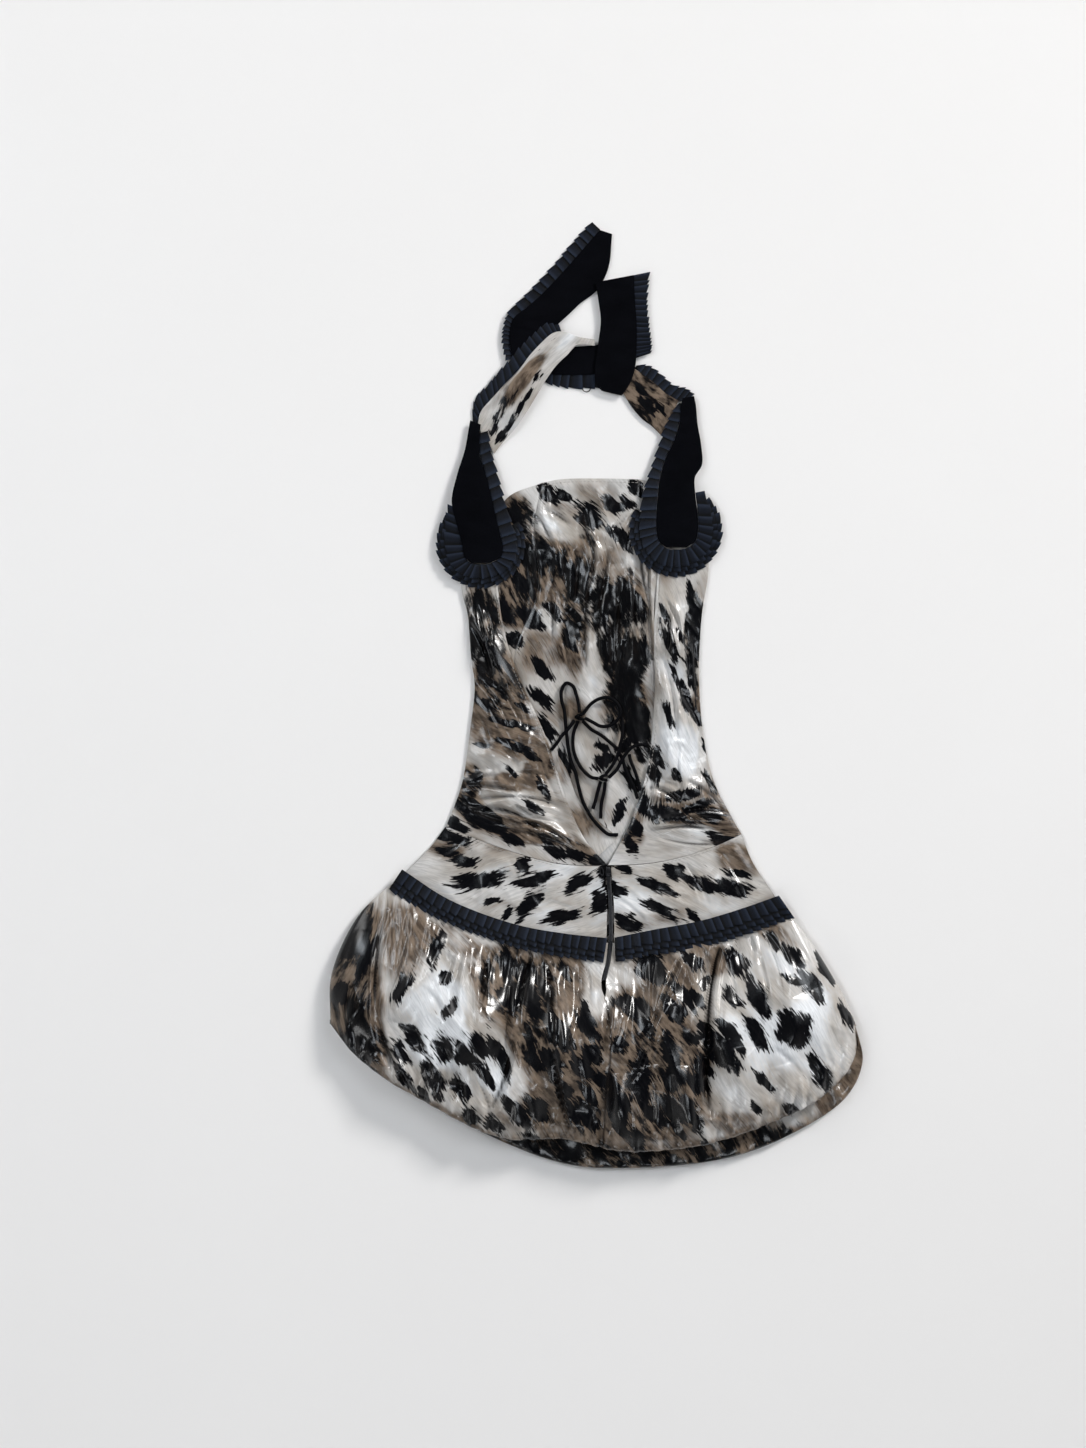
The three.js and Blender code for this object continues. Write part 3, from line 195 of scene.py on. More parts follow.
def print_satin():
    """Glossy satin with a fur print: tone holds dark, brown and spot, fur the hair's own directions; fold is
    painted shade, and the palest white is partly painted highlight.
    """
    m = Nodes("print_satin")
    tone = m.add("SeparateXYZ", {0: m.attribute("tone")})
    dark, brown, spot = (tone.node.outputs[i] for i in range(3))
    fur = m.attribute("fur")
    hair = m.noise(fur, (0.065, 0.9, 1), 4, 0.6)
    strand = m.noise(fur, (0.05, 0.4, 1), 3, 0.6, 7)
    tuft = m.noise(fur, (0.05, 0.13, 1), 4, 0.6, 13)
    blotch = m.noise(fur, (0.014, 0.03, 1), 3, 0.5, 29)
    fine = m.math("MULTIPLY_ADD", strand, 0.55, m.math("MULTIPLY", hair, 0.45))
    brown_at = m.math("MULTIPLY_ADD", blotch, 1.3, m.math("MULTIPLY_ADD", fine, 1.2, brown))
    # The print's palest bluish white; where tones push brown well below zero, as on the skirt's flanks, it is
    # painted highlight.
    white_and_highlight_at = m.ramp(brown_at, 1.05, 0.55)
    brown_at = m.ramp(brown_at, 1.27, 1.85)
    dark_at = m.math("MULTIPLY_ADD", tuft, 1.7, m.math("MULTIPLY_ADD", fine, 1.15, dark))
    dark_at = m.ramp(dark_at, 1.83, 2.2)
    spot_at = m.math("MULTIPLY_ADD", strand, 1.3, m.math("MULTIPLY_ADD", hair, 0.7, spot))
    spot_at = m.ramp(spot_at, 1.25, 1.38)
    streak = m.ramp(fine, 0.38, 0.62)
    pale = m.mix(m.ramp(blotch, 0.35, 0.65), (0.6, 0.585, 0.57), (0.42, 0.383, 0.343))
    taupe = m.mix(m.ramp(tuft, 0.35, 0.65), (0.215, 0.162, 0.12), (0.07, 0.051, 0.038))
    pale = m.mix(white_and_highlight_at, pale, (0.74, 0.755, 0.775))
    color = m.mix(brown_at, pale, taupe)
    shade = m.math("MULTIPLY_ADD", streak, 0.3, 0.78)
    color = m.mix(1.0, color, m.add("CombineColor", {0: shade, 1: shade, 2: shade}))
    color.node.blend_type = "MULTIPLY"
    charcoal = m.mix(m.ramp(fine, 0.52, 0.78), (0.0012, 0.0013, 0.002), (0.02, 0.0145, 0.0115))
    color = m.mix(dark_at, color, charcoal)
    black = m.mix(m.ramp(strand, 0.45, 0.8), (0.001, 0.0012, 0.0022), (0.007, 0.0065, 0.008))
    color = m.mix(spot_at, color, black)
    # Painted shade: creases and hollows darkened from the fold layer.
    fold = m.add("SeparateXYZ", {0: m.attribute("fold")})
    color = m.mix(fold, color, (0.012, 0.009, 0.008))
    wrinkle = m.noise(fur, (0.01, 0.034, 1), 1, 0.5, 41)
    weave = m.noise(fur, (1.6, 1.6, 1), 1, 0.5, 3)
    normal = m.bump(wrinkle, 0.005, 0.4)
    normal = m.bump(weave, 0.00012, 0.35, normal)
    rough = m.math("MULTIPLY_ADD", hair, 0.12, 0.15)
    fixed = dict(Specular_IOR_Level=0.42, Coat_Weight=0.1, Coat_Roughness=0.12)
    return m.finish(color, rough, normal, **fixed)


def velvet():
    m = Nodes("black_velvet")
    at = m.add("TexCoord", output="Object")
    pile = m.noise(at, (900, 900, 900), 2)
    nap = m.noise(at, (22, 40, 22), 3, 0.6, 5)
    color = m.mix(nap, (0.0008, 0.0009, 0.0014), (0.0034, 0.0037, 0.0055))
    normal = m.bump(pile, 0.0004, 0.5)
    return m.finish(color, 0.95, normal, Specular_IOR_Level=0.03, Sheen_Weight=0.03, Sheen_Roughness=0.3)


def ribbon_cloth():
    """Ribbed navy ribbon.

    Fur is along and across it in millimetres. Tone is the place in a pleat, a number for each pleat and
    how far the ribbon above it reaches; from these it paints a highlight at each pleat's fold, shade at its
    foot and the shadow that the ribbon above casts.
    """
    m = Nodes("pleated_ribbon")
    fur = m.attribute("fur")
    tone = m.add("SeparateXYZ", {0: m.attribute("tone")})
    phase, own, covered = (tone.node.outputs[i] for i in range(3))
    across = m.add("SeparateXYZ", {0: fur}, output=1)
    rib = m.noise(fur, (0.25, 2.2, 1), 2, 0.5)
    soft = m.noise(fur, (0.1, 0.1, 1), 3, 0.5, 9)
    uneven = m.math("MULTIPLY_ADD", rib, 0.5, m.math("MULTIPLY", own, 0.5))
    color = m.mix(uneven, (0.0017, 0.0026, 0.0054), (0.005, 0.0076, 0.0152))
    # Painted highlight towards each pleat's fold.
    color = m.mix(m.math("MULTIPLY", m.ramp(phase, 0.55, 0.95), 0.8), color, (0.0155, 0.022, 0.038))
    # Painted shade at each pleat's foot.
    color = m.mix(m.math("MULTIPLY", m.ramp(phase, 0.46, 0.12), 0.95), color, (0.0005, 0.0006, 0.001))
    # Painted shadow of the ribbon above, just past its edge.
    past = m.math("SUBTRACT", across, covered)
    color = m.mix(m.math("MULTIPLY", m.ramp(past, 3.6, 0.2), 0.93), color, (0.0005, 0.0006, 0.001))
    normal = m.bump(rib, 0.00022, 0.7)
    normal = m.bump(soft, 0.002, 0.3, normal)
    return m.finish(color, 0.5, normal, Specular_IOR_Level=0.15)


def lacing_satin():
    m = Nodes("lacing_satin")
    at = m.add("TexCoord", output="Object")
    twist = m.noise(at, (260, 260, 260), 2)
    color = m.mix(twist, (0.0006, 0.0006, 0.001), (0.0026, 0.0027, 0.004))
    return m.finish(color, 0.6, m.bump(twist, 0.0003, 0.4), Specular_IOR_Level=0.06)


def zip_tape():
    m = Nodes("zip_tape")
    at = m.add("TexCoord", output="Object")
    ribs = m.add("TexWave", {"Vector": at, "Scale": 330.0, "Distortion": 0.4}, output=1, bands_direction="Y")
    color = m.mix(ribs, (0.003, 0.0034, 0.005), (0.016, 0.018, 0.025))
    return m.finish(color, 0.45, m.bump(ribs, 0.0003, 0.7), Specular_IOR_Level=0.45)


def dark_metal():
    m = Nodes("dark_metal")
    at = m.add("TexCoord", output="Object")
    worn = m.noise(at, (420, 420, 420), 3)
    color = m.mix(worn, (0.008, 0.008, 0.01), (0.04, 0.041, 0.046))
    return m.finish(color, m.math("MULTIPLY_ADD", worn, 0.2, 0.22), m.bump(worn, 0.0001, 0.3), Metallic=0.6)


def thread():
    m = Nodes("thread")
    at = m.add("TexCoord", output="Object")
    twist = m.noise(at, (1500, 1500, 1500), 2)
    color = m.mix(twist, (0.16, 0.145, 0.13), (0.42, 0.4, 0.37))
    return m.finish(color, 0.5, m.bump(twist, 0.0002, 0.5))


def floor_paint():
    m = Nodes("floor")
    at = m.add("TexCoord", output="Object")
    grain = m.noise(at, (3, 3, 3), 4)
    return m.finish(m.mix(grain, (0.84, 0.824, 0.814), (0.864, 0.849, 0.839)), 0.9, Specular_IOR_Level=0.1)



def lay_floor():
    bpy.ops.mesh.primitive_plane_add(size=40, location=(0, 0, -0.0006))
    floor = bpy.context.object
    floor.name = "floor"
    floor.data.materials.append(floor_paint())
    floor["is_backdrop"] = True


PRINT, VELVET, RIBBON = print_satin(), velvet(), ribbon_cloth()
LACING, ZIP, METAL, THREAD = lacing_satin(), zip_tape(), dark_metal(), thread()
lay_floor()


# ---------------------------------------------------------------- curves and smooth functions
def smooth(x, low, high):
    t = np.clip((np.asarray(x, float) - low) / (high - low), 0, 1)
    return t * t * (3 - 2 * t)


def lerp(a, b, t):
    return a + (b - a) * t


def samples(points, per=24):
    """A smooth centripetal curve through points, with per steps from each to the next."""
    p = np.array([list(q) + [0.0] * (3 - len(q)) for q in points], float)
    p = np.vstack([2 * p[0] - p[1], p, 2 * p[-1] - p[-2]])
    t = np.linspace(0, 1, per + 1)[:-1, None]
    out = []
    for i in range(1, len(p) - 2):
        a, b, c, d = p[i - 1 : i + 3]
        d0, d1, d2 = (max(np.linalg.norm(v) ** 0.5, 1e-4) for v in (b - a, c - b, d - c))
        start = ((b - a) / d0 - (c - a) / (d0 + d1) + (c - b) / d1) * d1
        end = ((c - b) / d1 - (d - b) / (d1 + d2) + (d - c) / d2) * d1
        squared, cubed = 3 * (c - b) - 2 * start - end, 2 * (b - c) + start + end
        out.append(b + start * t + squared * t**2 + cubed * t**3)
    return np.vstack([*out, p[-2][None]])


def along_line(line):
    """How far along a line each of its points is."""
    return np.concatenate([[0], np.cumsum(np.linalg.norm(np.diff(line, axis=0), axis=1))])


def edge(points, low=0.0, high=1.0):
    """The curve as a function of the share of its length, between two shares."""
    s = samples(points)
    share = along_line(s)
    share /= share[-1]

    def at(t):
        part = lerp(low, high, np.asarray(t, float))
        return np.stack([np.interp(part, share, s[:, k]) for k in range(3)], -1)

    return at


def share_at(points, x):
    """The share of a curve's length at which it reaches x."""
    s = samples(points)
    share = along_line(s)
    return float(np.interp(x, s[:, 0], share / share[-1]))


def rows_curve(points, per=24):
    """The curve as a function of its table: 0 at the first row, 1 at the last."""
    s = samples(points, per)
    share = np.linspace(0, 1, len(s))
    return lambda t: np.stack([np.interp(t, share, s[:, k]) for k in range(3)], -1)


def both_edges(rows):
    """The two edges of a strip as curves, from rows of x, y, x, y and the height of both."""
    first = rows_curve([(x, y, z) for x, y, _, _, z in rows])
    second = rows_curve([(x, y, z) for _, _, x, y, z in rows])
    return first, second


def length_of(line):
    return float(np.linalg.norm(np.diff(line, axis=0), axis=1).sum())


def plan(top, bottom, left, right):
    """A panel between four edges that share corners, top and bottom from left to right, sides downwards."""
    c = [top(0.0), top(1.0), bottom(0.0), bottom(1.0)]

    def at(u, v):
        U, V = u[..., None], v[..., None]
        return (
            top(u) * (1 - V) + bottom(u) * V + left(v) * (1 - U) + right(v) * U
            - c[0] * (1 - U) * (1 - V) - c[1] * U * (1 - V) - c[2] * (1 - U) * V - c[3] * U * V
        )

    return at


def waves(x, y, size, seed, stretch=1.0, angle=0.0, count=18):
    """A smooth random field of about unit height, with features of this size in millimetres."""
    r = np.random.default_rng(seed)
    c, s = math.cos(math.radians(angle)), math.sin(math.radians(angle))
    along, across = (x * c + y * s) / stretch, -x * s + y * c
    total = np.zeros_like(x)
    for _ in range(count):
        turn = r.uniform(0, 2 * math.pi)
        phase = r.uniform(0, 2 * math.pi)
        k = 2 * math.pi / size * r.uniform(0.6, 1.5)
        total += np.sin(k * (along * math.cos(turn) + across * math.sin(turn)) + phase)
    return total * (2 / count) ** 0.5


def crumple(x, y, size, seed, **how):
    """Sharp little ridges between soft hollows."""
    return 1 - 2 * np.abs(np.tanh(waves(x, y, size, seed, **how)))


def beside(x, y, x0, y0, x1, y1, bow):
    """How strong a line bowed sideways is at points, fading to its ends, and how far they are from it."""
    run = math.hypot(x1 - x0, y1 - y0)
    dx, dy = (x1 - x0) / run, (y1 - y0) / run
    s = ((x - x0) * dx + (y - y0) * dy) / run
    d = -(x - x0) * dy + (y - y0) * dx - bow * 4 * s * (1 - s)
    return np.sqrt(np.sin(math.pi * np.clip(s, 0, 1))), d


# Creases and ridges: x and y of both ends, bow, width, height.
def creases(rows, x, y):
    """Troughs with a ridge beside each; a negative height puts the ridge on the trough's other side."""
    total = np.zeros_like(x)
    for *line, width, height in rows:
        fade, d = beside(x, y, *line)
        d = d * math.copysign(1, height)
        ridge = 0.8 * np.exp(-(((d - 1.1 * width) / width) ** 2))
        total += abs(height) * fade * (ridge - np.exp(-((d / (0.5 * width)) ** 2)))
    return total


def ridges(rows, x, y):
    """Soft ridges, or troughs where the height is negative."""
    total = np.zeros_like(x)
    for *line, width, height in rows:
        fade, d = beside(x, y, *line)
        total += height * fade * np.exp(-((d / width) ** 2))
    return total


def shaded(rows, x, y, least, most, relief=0.0, deep=3.0):
    """How far light fails to reach the bottom of creases and hollows: the painted shade layer of a panel."""
    in_creases = smooth(-creases(rows, x, y), least, most)
    in_hollows = smooth(-relief, 0.2 * deep, deep) * np.ones_like(x)
    return np.stack([np.clip(0.8 * in_creases + 0.5 * in_hollows, 0, 0.9), 0 * x, 0 * x], -1)


# ---------------------------------------------------------------- the print
# Spots: centre x, y, half length, half width, angle in degrees.
SPOTS = [
    (-55, 232, 13, 7, -48), (-38, 229, 10, 5, -20), (-6, 205, 15, 11, -50), (20, 218, 13, 7, -25),
    (36, 221, 9, 5, -40), (30, 181, 17, 7, -42), (46, 238, 10, 6, -60), (-92, 203, 12, 7, -55),
    (-60, 165, 17, 9, -50), (-38, 150, 15, 7, -50), (-62, 30, 14, 6, -48), (-93, 64, 9, 8, -30),
    (-62, -4, 15, 6, -38), (-58, -38, 17, 7, -50), (-37, -82, 16, 6, -80), (10, -76, 12, 7, 30),
    (34, -58, 10, 5, 40), (40, -97, 13, 5, -60), (8, -60, 9, 4, -30), (-30, -130, 14, 5, -60),
    (28, -133, 12, 5, 70), (-104, 96, 14, 6, -60), (-74, 88, 15, 8, -40), (-48, 96, 12, 6, -50),
    (-30, 62, 12, 5, -60), (-86, 130, 14, 7, -50),
]
WING_LEFT_SPOTS = [
    (-138, -97, 10, 7, 60), (-128, -10, 13, 4, -25), (-112, -29, 10, 3, -20), (-98, -33, 11, 3.5, -15),
    (-82, -37, 11, 3.5, -22), (-106, -53, 10, 3, -8), (-90, -60, 12, 4, -12), (-74, -70, 10, 3.5, -35),
    (-130, -58, 8, 2.5, -10), (-84, -14, 9, 3, -40), (-140, -134, 22, 9, -38), (-115, -152, 14, 7, -25),
    (-60, -108, 12, 4, -62), (-48, -178, 14, 6, -40), (-22, -184, 11, 6, -35), (4, -190, 11, 6, -20),
    (-95, -166, 12, 5, -20), (-160, -150, 13, 6, -30), (-128, 20, 14, 3.5, -50), (-112, 8, 12, 3, -48),
    (-100, 30, 12, 3.5, -55), (-118, 44, 16, 4, -60), (-96, -88, 8, 2.5, -50), (-70, -130, 11, 4, -35),
]
WING_RIGHT_SPOTS = [
    (86, 56, 19, 5, -66), (79, 92, 12, 3.5, -70), (98, 66, 9, 3, -68), (104, -4, 20, 5.5, -66),
    (116, -26, 10, 4, -66), (83, -22, 14, 3.5, -72), (92, -92, 7, 4, -60), (70, -72, 12, 6, -62),
    (66, -90, 10, 6, -64), (55, -124, 21, 8, -62), (101, -115, 19, 5.5, 14), (82, -136, 21, 7, -12),
    (116, -128, 15, 5, 18), (150, -168, 19, 7, -18), (168, -176, 14, 7, -40), (112, 104, 20, 5, -80),
    (114, 60, 20, 5, -82), (110, 22, 16, 4, -74), (131, -100, 12, 3, -62), (44, -150, 12, 6, -62),
    (40, -172, 10, 5, -60), (92, 20, 12, 3, -68), (128, -62, 10, 2.5, -66),
]
YOKE_SPOTS = [
    (-166, -163, 22, 6, -18), (-150, -191, 13, 6, -8), (-134, -213, 26, 8, 8), (-84, -196, 8, 7, 80),
    (-70, -212, 20, 6, 16), (-76, -240, 18, 7, 48), (-101, -250, 8, 3.5, 60), (-38, -254, 18, 6, 12),
    (-20, -215, 14, 7, 32), (5, -238, 12, 9, 78), (10, -202, 9, 6, 60), (-172, -180, 12, 4, -12),
    (-118, -236, 9, 3, 10), (20, -222, 13, 7, -34), (36, -262, 14, 7, -28), (90, -203, 10, 8, -10),
    (70, -219, 19, 5, -22), (124, -218, 22, 6, -16), (158, -222, 18, 8, -14), (164, -205, 13, 4, -10),
    (74, -246, 20, 5, -28), (113, -255, 9, 4, -50), (34, -200, 8, 4, -20),
]
SKIRT_SPOTS = [
    (-183, -290, 18, 6.5, 72), (-221, -333, 17, 6, 62), (-172, -322, 7, 6, 60), (-166, -357, 11, 5, 50),
    (-207, -391, 14, 8, -58), (-222, -408, 13, 6, -62), (-219, -434, 18, 5, -56),
    (-172, -402, 13, 10, -76), (-149, -409, 14, 8, -60), (-185, -436, 20, 9, -68),
    (-154, -448, 13, 8, -62), (-131, -398, 15, 8, -48), (-109, -410, 23, 6, -64),
    (-126, -431, 17, 5, -60), (-90, -474, 21, 7, -50), (-67, -471, 15, 9, -52), (-115, -490, 12, 7, -34),
    (-143, -480, 10, 7, -60), (-196, -455, 9, 4, -60), (-262, -300, 24, 6, 66), (-285, -262, 18, 10, 60),
    (-292, -340, 12, 8, 70), (-276, -395, 14, 7, -70), (-98, -310, 18, 9, -60), (-100, -345, 12, 10, -60),
    (-72, -350, 18, 8, -70), (-42, -384, 19, 10, -50), (-16, -422, 15, 8, -50), (-38, -446, 13, 7, -60),
    (-28, -474, 16, 6, -58), (-52, -412, 12, 8, -40), (-8, -372, 10, 6, -60), (-36, -316, 12, 4, -64),
    (6, -438, 11, 7, -50), (66, -314, 18, 12, -46), (110, -304, 13, 6, -36), (98, -341, 20, 5.5, -50),
    (124, -328, 8, 4.5, 60), (82, -352, 12, 6, -60), (40, -356, 18, 9, -34), (160, -305, 15, 9, -62),
    (155, -345, 12, 6, -50), (185, -346, 20, 8, -66), (203, -281, 10, 5, -52), (225, -299, 14, 6, -46),
    (247, -332, 18, 7, -56), (262, -311, 16, 5.5, -62), (225, -325, 12, 4, -20), (225, -380, 18, 15, -60),
    (255, -430, 21, 7.5, -64), (182, -385, 18, 7, -60), (149, -380, 15, 6, -42), (161, -397, 12, 5, -60),
    (140, -402, 25, 12, -48), (106, -388, 11, 5, -50), (192, -440, 14, 4, -46), (286, -366, 14, 4.5, -62),
    (222, -472, 8, 5, -30), (182, -470, 8, 4, -50), (30, -460, 12, 7, -50), (70, -480, 14, 7, -50),
    (104, -470, 16, 8, -60), (50, -430, 13, 9, -50), (90, -430, 14, 9, -50), (120, -440, 12, 5, -60),
]
# Tones: centre x, y, half sizes, angle, how dark and how brown.
TONES = [
    (34, 70, 36, 84, 0, 1.0, 0.5), (34, -20, 36, 36, 0, 0.8, 0.4), (-12, 112, 28, 50, -10, 0.85, 0.5),
    (-50, 145, 40, 40, -40, 0.7, 0.8), (-84, 190, 24, 44, 10, 0.75, 0.8),
    (-92, 110, 30, 34, 10, 0.75, 0.7), (-62, 50, 28, 26, 0, 0.15, 0.5), (54, 132, 14, 22, 0, -0.3, 0.1),
    (22, 160, 22, 12, 20, -0.3, 0.2), (-30, 208, 30, 16, -20, 0.25, 0.4),
    (0, -95, 36, 60, 0, -0.35, 0.05), (-58, -30, 18, 40, -60, -0.1, 0.3), (-8, 178, 18, 12, 0, 0.5, 0.3),
    (52, -50, 14, 40, 0, 0.7, 0.4), (-26, 50, 18, 40, 0, 0.6, 0.6), (44, 195, 16, 20, -30, 0.2, 0.3),
    (-20, -6, 14, 26, 0, 0.2, 0.4),
]
WING_LEFT_TONES = [
    (-130, 78, 30, 56, 10, 1.0, 0.6), (-112, 8, 40, 40, -30, 0.62, 0.9),
    (-100, -42, 50, 32, -20, 0.3, 0.9), (-118, -84, 32, 20, 0, -0.3, 0.2),
    (-72, -116, 52, 22, -14, -0.3, 0.3), (-138, -134, 38, 18, -28, 0.95, 0.5),
    (-84, -154, 46, 16, -12, 0.6, 1.0), (-28, -178, 42, 16, -22, 0.7, 0.6),
    (-143, -100, 16, 20, 0, 0.6, 0.5), (-62, -80, 16, 30, -40, 0.3, 0.9),
    (-100, -100, 18, 10, -20, 0.1, 0.6),
]
WING_RIGHT_TONES = [
    (112, 74, 13, 64, -4, 0.95, 0.4), (88, 110, 18, 26, 0, -0.5, -0.2),
    (84, 20, 22, 60, -8, -0.35, -0.25), (96, -66, 30, 46, -10, -0.35, -0.5),
    (150, -150, 38, 14, -30, 0.35, 0.9), (58, -130, 18, 34, -60, 0.6, 0.5),
    (112, -138, 44, 13, 0, 0.55, 0.8), (120, -4, 12, 34, -10, 0.5, 0.5),
    (40, -160, 20, 14, -30, 0.5, 0.6), (126, -60, 10, 30, -10, 0.2, 0.5),
]
YOKE_TONES = [
    (-60, -230, 160, 50, 0, -0.5, -0.3), (120, -225, 110, 44, 0, -0.5, -0.2),
    (165, -190, 34, 20, -30, 0.2, 0.7), (-178, -170, 30, 16, -30, 0.5, 0.5),
    (-110, -245, 40, 14, -20, 0.0, 0.5), (66, -258, 50, 12, 10, 0.0, 0.4),
    (-30, -235, 24, 16, 0, 0.0, 0.4),
]
# Rows with brown well below zero, on the skirt's two flanks and right of the zip, paint bluish white
# highlight.
SKIRT_TONES = [
    (-284, -330, 42, 96, 6, 0.75, 0.9), (-280, -262, 38, 30, 40, 1.0, 0.5),
    (-262, -402, 26, 44, 20, 0.5, 0.9), (-214, -290, 34, 50, 20, 0.0, 0.7),
    (-182, -362, 44, 62, 0, -0.6, -0.75), (-150, -430, 54, 48, 0, -0.5, -0.35),
    (-104, -322, 38, 54, -20, 0.7, 0.6), (-76, -362, 28, 64, -10, 0.6, 0.8),
    (-40, -330, 30, 52, 0, 0.3, 0.8), (-36, -432, 50, 88, 0, 0.3, 0.8), (-80, -476, 34, 26, 0, -0.2, 0.3),
    (6, -346, 14, 14, 0, -0.6, -0.3), (66, -450, 60, 80, 0, 0.52, 0.9), (50, -372, 54, 42, 0, 0.25, 0.85),
    (112, -400, 26, 34, 0, 0.3, 0.7), (74, -312, 46, 30, -40, 0.05, 0.65),
    (214, -372, 70, 84, 0, -0.55, -0.55), (186, -440, 56, 38, 0, -0.55, 0.0),
    (150, -486, 34, 14, 0, 0.1, 0.3), (2, -484, 26, 60, 0, 0.4, 0.9), (262, -440, 40, 40, 0, -0.5, -0.1),
    (130, -300, 30, 24, -30, 0.1, 0.6), (210, -280, 40, 14, -30, 0.0, 0.5),
    (-160, -280, 40, 16, -20, 0.1, 0.7),
]


def scattered(seed, x0, x1, y0, y1, angle, pitch=27):
    """Spots on a jittered lattice."""
    r = np.random.default_rng(seed)
    rows = []
    for i, x in enumerate(np.arange(x0, x1, pitch)):
        for y in np.arange(y0 + (i % 2) * pitch / 2, y1, pitch):
            if r.uniform() < 0.85:
                place = (x + r.uniform(-8, 8), y + r.uniform(-8, 8))
                half = (r.uniform(8, 19), r.uniform(4, 9))
                rows.append((*place, *half, angle + r.uniform(-14, 14)))
    return rows


def in_oval(x, y, px, py, rx, ry, tilt):
    """Points along and across an oval, where its rim is at 1, and how far out they are."""
    c, s = math.cos(math.radians(tilt)), math.sin(math.radians(tilt))
    along, across = ((x - px) * c + (y - py) * s) / rx, (-(x - px) * s + (y - py) * c) / ry
    return along, across, (along**2 + across**2) ** 0.5


def printed(x, y, spots, tones, angle, mixed=0.0, pivot=(0, 0)):
    """The print at points of a panel: the tone layer's dark, brown and spot, and the fur layer."""
    turn = np.radians(angle(x, y) if callable(angle) else np.full_like(x, angle))
    cx, cy = pivot
    wave = 5 * np.sin((x + 0.6 * y) / 31) + 3 * np.sin((y - 0.4 * x) / 17)
    along = (x - cx) * np.cos(turn) + (y - cy) * np.sin(turn)
    across = -(x - cx) * np.sin(turn) + (y - cy) * np.cos(turn) + wave
    fur = np.stack([along, across, 0 * x], -1)
    fur[..., :2] += (cx * 1.3 + 900, cy * 1.1 + 1300)
    dark = 0.12 * waves(x, y, 70, 5) - 0.1 + mixed
    brown = 0.16 * waves(x, y, 90, 9)
    for *oval, is_dark, is_brown in tones:
        near = 1 - smooth(in_oval(x, y, *oval)[2], 0.55, 1.25)
        dark, brown = dark + is_dark * near, brown + is_brown * near
    spot = np.zeros_like(x)
    for oval in spots:
        along, across, out = in_oval(x, y, *oval)
        lobes = 1 + 0.22 * np.sin(3.1 * along + oval[0]) * np.cos(2.3 * across + oval[1])
        spot = np.maximum(spot, 1.08 - 0.6 * out * lobes)
    return np.stack([np.clip(dark, -0.6, 1.05), brown, np.clip(spot, 0, 0.95)], -1), fur


# ---------------------------------------------------------------- meshes
pieces = {}
# Each sheet's longest way across and down, over its folds, in millimetres.
measured = {}


def solid(name, points, faces, material, layers=None, smooth_angle=40):
    """An object from points in the plan's millimetres, with layers that its material reads."""
    mesh = bpy.data.meshes.new(name)
    mesh.from_pydata([tuple(p) for p in (np.asarray(points) + SHIFT) * MM], [], [tuple(f) for f in faces])
    for key, values in (layers or {}).items():
        layer = mesh.attributes.new(key, "FLOAT_VECTOR", "POINT")
        layer.data.foreach_set("vector", np.asarray(values, np.float32).ravel())
    mesh.materials.append(material)
    obj = bpy.data.objects.new(name, mesh)
    bpy.context.scene.collection.objects.link(obj)
    work = bmesh.new()
    work.from_mesh(mesh)
    bmesh.ops.recalc_face_normals(work, faces=work.faces)
    work.to_mesh(mesh)
    work.free()
    mesh.shade_smooth()
    mesh.set_sharp_from_angle(angle=math.radians(smooth_angle))
    pieces[name] = obj
    return obj


def slab(name, top, bottom, material, layers_top=None, layers_bottom=None, smooth_angle=50):
    """A closed sheet between two grids of points."""
    steps = [np.linalg.norm(np.diff(top, axis=axis), axis=-1).sum(axis) for axis in (1, 0)]
    measured[name] = [step.max() for step in steps]
    rows, cols = top.shape[:2]
    index = np.arange(rows * cols).reshape(rows, cols)
    low = index + rows * cols
    a, b, c, d = index[:-1, :-1], index[1:, :-1], index[1:, 1:], index[:-1, 1:]
    upper = np.stack([a, b, c, d], -1).reshape(-1, 4)
    lower = np.stack([a, d, c, b], -1).reshape(-1, 4) + rows * cols
    around = np.concatenate([index[0, :-1], index[:-1, -1], index[-1, :0:-1], index[:0:-1, 0]])
    under = np.concatenate([low[0, :-1], low[:-1, -1], low[-1, :0:-1], low[:0:-1, 0]])
    rim = np.stack([around, np.roll(around, -1), np.roll(under, -1), under], -1)
    points = np.concatenate([top.reshape(-1, 3), bottom.reshape(-1, 3)])
    layers = {}
    for key, values in (layers_top or {}).items():
        other = (layers_bottom or layers_top)[key]
        layers[key] = np.concatenate([values.reshape(-1, 3), other.reshape(-1, 3)])
    faces = np.concatenate([upper, lower, rim]).tolist()
    return solid(name, points, faces, material, layers, smooth_angle)


def shell(name, outer, thickness, material, up=True, **layers):
    """A wall behind an outer face, one thickness in."""
    normal = np.cross(np.gradient(outer, axis=1), np.gradient(outer, axis=0))
    normal /= np.maximum(np.linalg.norm(normal, axis=-1, keepdims=True), 1e-9)
    probe = normal[normal.shape[0] // 4, normal.shape[1] // 2, 2]
    sign = math.copysign(1, probe) * (1 if up else -1)
    return slab(name, outer, outer - normal * sign * thickness, material, **layers)


def tube(path, side, upward, radius, corners, closed):
    """Points and faces of a round tube along a path; side and upward are two directions across it."""
    ring = np.linspace(0, 2 * math.pi, corners, endpoint=False)
    across = side[:, None] * np.cos(ring)[None, :, None]
    points = path[:, None] + radius * (across + upward[:, None] * np.sin(ring)[None, :, None])
    n, k = len(path), corners
    faces = [
        (i * k + j, i * k + (j + 1) % k, (i + 1) % n * k + (j + 1) % k, (i + 1) % n * k + j)
        for i in range(n if closed else n - 1) for j in range(k)
    ]
    if not closed:
        faces += [tuple(range(k)), tuple(range((n - 1) * k, n * k))]
    return points.reshape(-1, 3), faces


